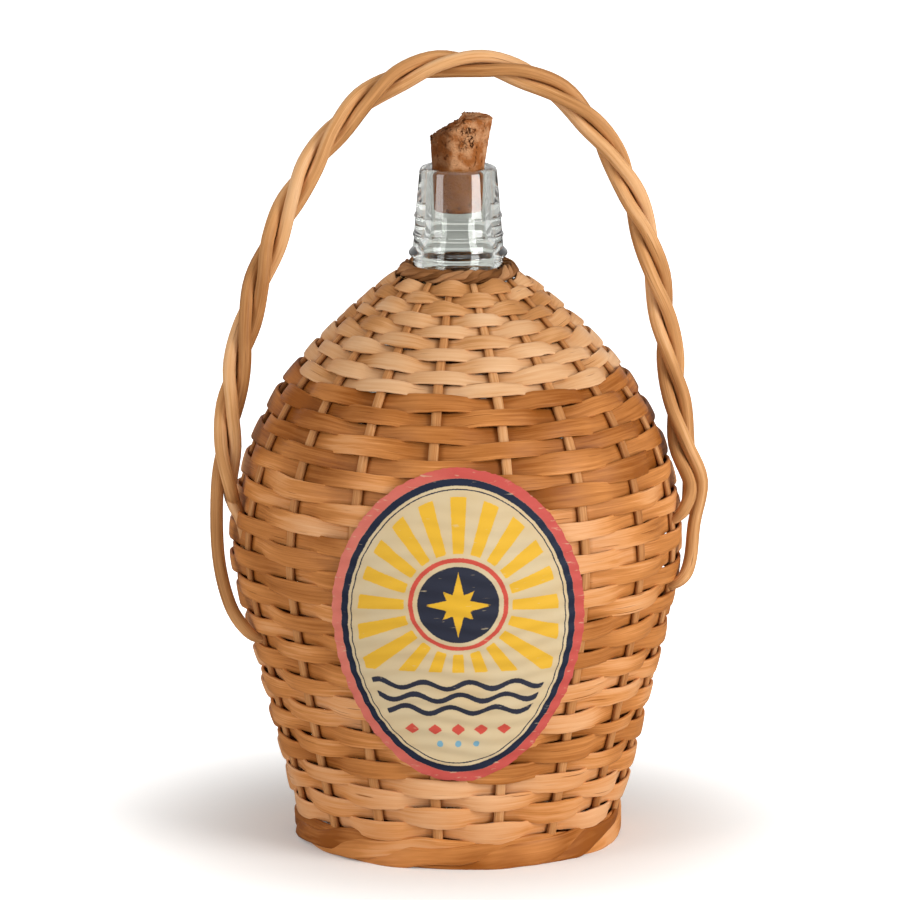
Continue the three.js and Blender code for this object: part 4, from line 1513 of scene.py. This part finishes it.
def rod_path(rod, arch, span, rise):
    """A rod's lay along the arch, with its tails; rod 0 lies outside, 1 in front and 2 behind"""
    forward = span.cross(rise)
    lengths = path_lengths(arch)
    steps = LAY_TURNS * TURN_POINTS
    points = []
    for i in range(steps + 1):
        share = i / steps
        here = path_at(arch, lengths, share)
        before, after = max(0, share - 0.004), min(1, share + 0.004)
        tangent = path_at(arch, lengths, after) - path_at(arch, lengths, before)
        outward = forward.cross(tangent.normalized())
        turn = TURN * (rod / 3 - share * LAY_TURNS)
        side = outward * ROPE_RADIUS * math.cos(turn) + forward * ROPE_RADIUS * math.sin(turn)
        points.append(here + side)
    if rod:
        left_tail = tuck(points[0], LEFT_FOOT)
    else:
        left_stake = stake_before(LEFT_FOOT) + 1
        left_tail = tail(points[0], left_stake, LEFT_FOOT, LEFT_LOOP_DROP, LEFT_LOOP_STANDOFF)
    right = stake_before(RIGHT_FOOT)
    right_stake = right + 1 if rod == 2 else right
    right_drop = TUCK_DROP if rod else RIGHT_LOOP_DROP
    right_tail = tail(points[-1], right_stake, RIGHT_FOOT, right_drop, RIGHT_LOOP_STANDOFF)
    bends = [*reversed(left_tail[1:]), *points[::4], *right_tail[1:]]
    return curve_through(bends, PATH_STEPS)


def rod_frames(points):
    """Two directions across the rod at each point, carried along without twist"""
    frames = []
    normal = Vector((0, 1, 0))
    for i in range(len(points)):
        along = (points[min(i + 1, len(points) - 1)] - points[max(i - 1, 0)]).normalized()
        normal = (normal - along * normal.dot(along)).normalized()
        frames.append((normal, along.cross(normal)))
    return frames


def make_handle(settings):
    material = willow(
        "peeled_willow_rod",
        palette(settings, "rod"),
        streak=(70, 1.5, 4),
        roughness=0.45,
        relief=0.18,
    )
    arch, span, rise = handle_arch()
    chance = random.Random(settings.seed + 2)
    for rod, name in enumerate(("outer", "front", "back")):
        points = rod_path(rod, arch, span, rise)
        frames = rod_frames(points)
        last = len(points) - 1
        seed = chance.uniform(0, SEEDS)
        knots = [chance.uniform(0.05, 0.95) for _ in range(KNOTS)]
        tone = chance.uniform(*ROD_TONES)

        def section(u):
            i = round(u * last)
            normal, across = frames[i]
            ends = min(i, last - i)
            radius = mix(ROD_TIP_DIAMETER, ROD_DIAMETER, min(1, ends / ROD_TIP_STEPS)) / 2
            knot = sum(math.exp(-((u - place) * last / KNOT_LENGTH) ** 2) for place in knots)

            def corner(v):
                turn = v * TURN
                lump = ROD_LUMPS * smooth_noise(i / 9 + math.cos(turn), seed)
                lump += KNOT_SIZE * knot * math.cos(turn - seed)
                out = normal * math.cos(turn) + across * math.sin(turn)
                return points[i] + out * radius * (ROD_SLACK + lump)

            return corner

        def tone_at(u):
            return tone + ROD_TONE_STRAY * smooth_noise(u * 9, seed + 4)

        piece = add_grid(f"willow_handle_{name}", last, ROD_SIDES)
        length = path_lengths(points)[-1]
        attributes = (("tone", tone_at), ("dip_shade", lambda u: 0))
        lay_grid(piece, section, length, math.pi * ROD_DIAMETER, attributes, rod)
        close_tube()
        dress(piece, material, "willow_rod", BOTTLE_BODY, [f"handle_rod_{name}"])


# Label


def fold_angle(angle, parts):
    """An angle folded into one of a number of equal sectors, about its middle"""
    sector = TURN / parts
    return (angle + sector / 2) % sector - sector / 2


def star_reach(x, y, tip, waist):
    """Distance outside a four-pointed star, negative inside"""
    angle = fold_angle(math.atan2(y, x), 4)
    radius = math.hypot(x, y)
    here = Vector((radius * math.cos(angle), radius * abs(math.sin(angle))))
    end = Vector((tip, 0))
    edge = Vector((waist * math.cos(TURN / 8), waist * math.sin(TURN / 8))) - end
    across = Vector((-edge.y, edge.x)).normalized()
    return -(here - end).dot(across)


def label_motifs(x, y):
    """How far a spot, in millimetres from the label's middle, is outside each printed shape"""
    oval = math.hypot(x / (LABEL_WIDTH / 2), y / (LABEL_HEIGHT / 2))
    radius = math.hypot(x, y)
    inset = LABEL_WIDTH / 2 if oval < 0.01 else radius / oval - radius
    rise = y - SUN_RISE
    far = math.hypot(x, rise)
    ray = far * abs(math.sin(fold_angle(math.atan2(x, rise), RAYS))) - RAY_HALF - RAY_SPREAD * far
    turned = ((x + rise) / math.sqrt(2), (rise - x) / math.sqrt(2))
    star = star_reach(x, rise, STAR_TIP, STAR_WAIST)
    small_star = star_reach(*turned, SMALL_STAR_TIP, STAR_WAIST)
    crests = [
        WAVE_TOP - WAVE_STEP * k + WAVE_SWING * math.sin(TURN * x / WAVE_LENGTH + WAVE_SHIFT * k)
        for k in range(WAVES)
    ]
    wave = min(abs(y - crest) for crest in crests) - WAVE_HALF
    wide, high = LOZENGE_SHAPE
    lozenge = min(abs(x - place) / wide + abs(y + LOZENGE_FALL) / high for place in LOZENGE_PLACES)
    dot = min(math.hypot(x - place, y + DOT_FALL) for place in DOT_PLACES)
    return {
        "inset": inset,
        "rays": max(ray, RAY_START - far, RAY_INSET - inset, RAY_FLOOR - y),
        "ring": abs(far - RING_RADIUS) - RING_HALF,
        "disc": far - DISC_RADIUS,
        "star": min(star, small_star),
        "waves": max(wave, WAVE_INSET - inset),
        "lozenges": lozenge - LOZENGE_SIZE,
        "dots": dot - DOT_RADIUS,
    }


def make_label(settings):
    """An oval of paper over the weave, which sinks a little between the rows"""
    centre = along_at_height(LABEL_CENTRE_HEIGHT)
    girth = jacket_at(centre).radius

    def flat_spot(u, v):
        a, b = 2 * u - 1, 2 * v - 1
        x = a * math.sqrt(1 - b * b / 2) * LABEL_WIDTH / 2
        y = b * math.sqrt(1 - a * a / 2) * LABEL_HEIGHT / 2
        fray = max(0, noise.noise(Vector((x / FRAY_LENGTH, y / FRAY_LENGTH, 3))))
        fine_fray = noise.noise(Vector((x, y, 0)))
        kept = 1 - FRAY_DEPTH * fray - FRAY_FINE_DEPTH * fine_fray
        return x * kept, y * kept

    def section(u):
        def corner(v):
            x, y = flat_spot(u, v)
            place = jacket_at(centre + y)
            proud = crossing_offsets(place, WALL_SKEIN)[0] + WALL_SKEIN / 2 + LABEL_STANDOFF
            sink = 0.5 + 0.5 * math.cos(TURN * y / WALL_ROW + 2 * math.sin(STAKES * x / girth / 2))
            sink += 0.7 * noise.noise(Vector((x / 14, y / 9, 1)))
            return jacket_point(x / girth, place, proud - settings.ripple / MM * (sink - 0.5))

        return corner

    paper = add_grid("paper_label", *LABEL_CELLS)
    flat = [flat_spot(v.co.x, v.co.y) for v in paper.data.vertices]
    motifs = [label_motifs(*spot) for spot in flat]
    lay_grid(paper, section, 1, 1)
    for name in ("inset", *LABEL_INKS):
        layer = paper.data.attributes.new(name, "FLOAT", "POINT")
        layer.data.foreach_set("value", [motif[name] for motif in motifs])
    for loop, corner in zip(paper.data.loops, paper.data.uv_layers.active.data):
        x, y = flat[loop.vertex_index]
        corner.uv = ((x + LABEL_WIDTH / 2) * MM, (y + LABEL_HEIGHT / 2) * MM)
    apply_modifier(paper, "SOLIDIFY", thickness=settings.thickness, offset=-1)
    face_outwards()
    bpy.ops.object.shade_smooth_by_angle(angle=LABEL_EDGE_ANGLE)
    dress(paper, printed_paper(settings), "printed_paper", BOTTLE_BODY, ["label"])


# Stage

AIM = Vector((-3.4, 0, 164.1)) * MM
SENSOR_WIDTH = 36
FLOOR_SIZE = 8
WHITE = (1, 1, 1, 1)
DIM_FLOOR = (0.2, 0.2, 0.2, 1)
SHADE_END = 0.07  # metres from the axis, inside which the floor only glows a little
WHITE_START = 0.24  # and past which it is white
SHADE_GLOW = 0.12
ROOM_FRONT = 0.06  # brightness of the room in front of the bottle
MIRRORED_BACKDROP = 0.55  # and of the backdrop, mirrored in the glass
CLEAR_BACKDROP = 0.86  # and seen through it
SCATTERED_LIGHT = 0.78  # light that reaches a matt surface through the glass


def add_lamp(name, power, size, place):
    lamp = bpy.data.lights.new(name, "AREA")
    lamp.energy = power
    lamp.shape = "RECTANGLE"
    lamp.size, lamp.size_y = size
    holder = bpy.data.objects.new(name, lamp)
    holder.location = place
    holder.rotation_euler = (AIM - Vector(place)).to_track_quat("-Z", "Y").to_euler()
    bpy.context.scene.collection.objects.link(holder)


def matt_floor(settings):
    """Matt white paper: it keeps the bottle's shadow, runs out to white, and is dim in mirrors"""
    material, tree, shader = new_material("matt_paper_floor")
    rays = add_node(tree, "LightPath").node.outputs
    mirrored = {0: rays["Is Glossy Ray"], 1: rays["Is Reflection Ray"]}
    mirrored = add_node(tree, "Math", mirrored, operation="MULTIPLY")
    spot = add_node(tree, "TexCoord", output="Object")
    far = add_node(tree, "VectorMath", {0: spot}, "Value", operation="LENGTH")
    glow = {"Value": far, "From Min": SHADE_END, "From Max": WHITE_START, "To Min": SHADE_GLOW}
    glow = add_node(tree, "MapRange", glow, interpolation_type="SMOOTHSTEP")
    seen = {0: rays["Is Camera Ray"], 1: glow}
    inputs = {
        "Base Color": layered(tree, opaque(settings.floor_colour), [(mirrored, DIM_FLOOR)]),
        "Roughness": 0.9,
        "Emission Color": WHITE,
        "Emission Strength": add_node(tree, "Math", seen, operation="MULTIPLY"),
    }
    set_inputs(tree, shader, inputs)
    return material


def set_world(settings):
    """Even light all round; the camera sees white, the glass a backdrop and a dim room in front"""
    world = bpy.data.worlds.new("white_studio")
    bpy.context.scene.world = world
    world.use_nodes = True
    tree = world.node_tree
    rays = add_node(tree, "LightPath").node.outputs
    way = add_node(tree, "TexCoord", output="Generated")
    back = add_node(tree, "SeparateXYZ", {"Vector": way}, "Y")
    sides = {"Value": back, "From Min": -0.4, "From Max": 0.3, "To Min": ROOM_FRONT}
    mirrored, clear = (
        add_node(tree, "MapRange", {**sides, "To Max": backdrop})
        for backdrop in (MIRRORED_BACKDROP, CLEAR_BACKDROP)
    )
    scattered = {0: rays["Diffuse Depth"], 2: clear, 3: SCATTERED_LIGHT}
    clear = add_node(tree, "Mix", scattered, data_type="FLOAT")
    strength = settings.sky
    levels = (("Is Glossy Ray", mirrored), ("Is Transmission Ray", clear), ("Is Camera Ray", 1))
    for ray, level in levels:
        inputs = {0: rays[ray], 2: strength, 3: level}
        strength = add_node(tree, "Mix", inputs, data_type="FLOAT")
    set_inputs(tree, tree.nodes["Background"], {"Color": WHITE, "Strength": strength})


def set_stage(settings):
    bpy.ops.object.select_all(action="DESELECT")
    bpy.ops.mesh.primitive_plane_add(size=FLOOR_SIZE)
    floor = bpy.context.object
    floor.name = "paper_floor"
    floor.data.materials.append(matt_floor(settings))
    set_world(settings)
    add_lamp("key_lamp", settings.key_power, (1.0, 1.5), (1.64, -1.2, 0.8))
    add_lamp("fill_lamp", settings.fill_power, (0.8, 1.4), (-1.6, -1.1, 0.75))
    add_lamp("top_lamp", settings.top_power, (1.2, 1.2), (0.2, -0.6, 2.1))
    camera = bpy.data.cameras.new("front_camera")
    camera.sensor_width = SENSOR_WIDTH
    camera.lens = SENSOR_WIDTH * settings.distance / settings.framed_width
    holder = bpy.data.objects.new("front_camera", camera)
    back = Vector((0, -math.cos(settings.elevation), math.sin(settings.elevation)))
    holder.location = AIM + back * settings.distance
    holder.rotation_euler = (-back).to_track_quat("-Z", "Y").to_euler()
    bpy.context.scene.collection.objects.link(holder)
    bpy.context.scene.camera = holder
    bpy.context.scene.view_settings.view_transform = "Standard"


# Operators and panel


class BOTTLE_OT_stakes(bpy.types.Operator):
    """Stand the peeled stakes round the bottle"""

    bl_idname = "willow_bottle.stakes"
    bl_label = "Stakes"

    def execute(self, context):
        make_stakes(context.scene.willow_bottle.willow)
        return {"FINISHED"}


class BOTTLE_OT_weavers(bpy.types.Operator):
    """Weave the split skeins in front of and behind the stakes"""

    bl_idname = "willow_bottle.weavers"
    bl_label = "Weavers"

    def execute(self, context):
        make_weavers(context.scene.willow_bottle.willow)
        return {"FINISHED"}


class BOTTLE_OT_foot_border(bpy.types.Operator):
    """Twist the border that the bottle stands on"""

    bl_idname = "willow_bottle.foot_border"
    bl_label = "Foot Border"

    def execute(self, context):
        make_foot_border(context.scene.willow_bottle.willow)
        return {"FINISHED"}


class BOTTLE_OT_neck_binding(bpy.types.Operator):
    """Twist the bark round the neck"""

    bl_idname = "willow_bottle.neck_binding"
    bl_label = "Neck Binding"

    def execute(self, context):
        make_neck_binding(context.scene.willow_bottle.willow)
        return {"FINISHED"}


class BOTTLE_OT_glass(bpy.types.Operator):
    """Turn the glass bottle"""

    bl_idname = "willow_bottle.glass"
    bl_label = "Glass"

    def execute(self, context):
        make_glass(context.scene.willow_bottle.glass)
        return {"FINISHED"}


class BOTTLE_OT_cork(bpy.types.Operator):
    """Turn the cork and break its top"""

    bl_idname = "willow_bottle.cork"
    bl_label = "Cork"

    def execute(self, context):
        make_cork(context.scene.willow_bottle.cork)
        return {"FINISHED"}


class BOTTLE_OT_handle(bpy.types.Operator):
    """Twist the three rods of the handle"""

    bl_idname = "willow_bottle.handle"
    bl_label = "Handle"

    def execute(self, context):
        make_handle(context.scene.willow_bottle.willow)
        return {"FINISHED"}


class BOTTLE_OT_label(bpy.types.Operator):
    """Lay the printed label over the weave"""

    bl_idname = "willow_bottle.label"
    bl_label = "Label"

    def execute(self, context):
        make_label(context.scene.willow_bottle.label)
        return {"FINISHED"}


class BOTTLE_OT_stage(bpy.types.Operator):
    """Set the floor, lamps and camera"""

    bl_idname = "willow_bottle.stage"
    bl_label = "Stage"

    def execute(self, context):
        set_stage(context.scene.willow_bottle.stage)
        return {"FINISHED"}


OPERATORS = (
    BOTTLE_OT_stage,
    BOTTLE_OT_stakes,
    BOTTLE_OT_weavers,
    BOTTLE_OT_foot_border,
    BOTTLE_OT_neck_binding,
    BOTTLE_OT_glass,
    BOTTLE_OT_cork,
    BOTTLE_OT_handle,
    BOTTLE_OT_label,
)


class BOTTLE_PT_panel(bpy.types.Panel):
    """Lists the bottle's operators"""

    bl_idname = "BOTTLE_PT_panel"
    bl_label = "Willow Bottle"
    bl_space_type = "VIEW_3D"
    bl_region_type = "UI"
    bl_category = "Willow Bottle"

    def draw(self, context):
        for operator in OPERATORS:
            self.layout.operator(operator.bl_idname)


CLASSES = (
    WillowSettings,
    GlassSettings,
    CorkSettings,
    LabelSettings,
    StageSettings,
    BottleSettings,
    *OPERATORS,
    BOTTLE_PT_panel,
)


def register():
    for entry in CLASSES:
        bpy.utils.register_class(entry)
    bpy.types.Scene.willow_bottle = PointerProperty(type=BottleSettings)


def unregister():
    del bpy.types.Scene.willow_bottle
    for entry in reversed(CLASSES):
        bpy.utils.unregister_class(entry)


def main():
    register()
    bpy.ops.willow_bottle.stage()
    bpy.ops.willow_bottle.stakes()
    bpy.ops.willow_bottle.weavers()
    bpy.ops.willow_bottle.foot_border()
    bpy.ops.willow_bottle.neck_binding()
    bpy.ops.willow_bottle.glass()
    bpy.ops.willow_bottle.cork()
    bpy.ops.willow_bottle.handle()
    bpy.ops.willow_bottle.label()


if __name__ == "__main__":
    main()
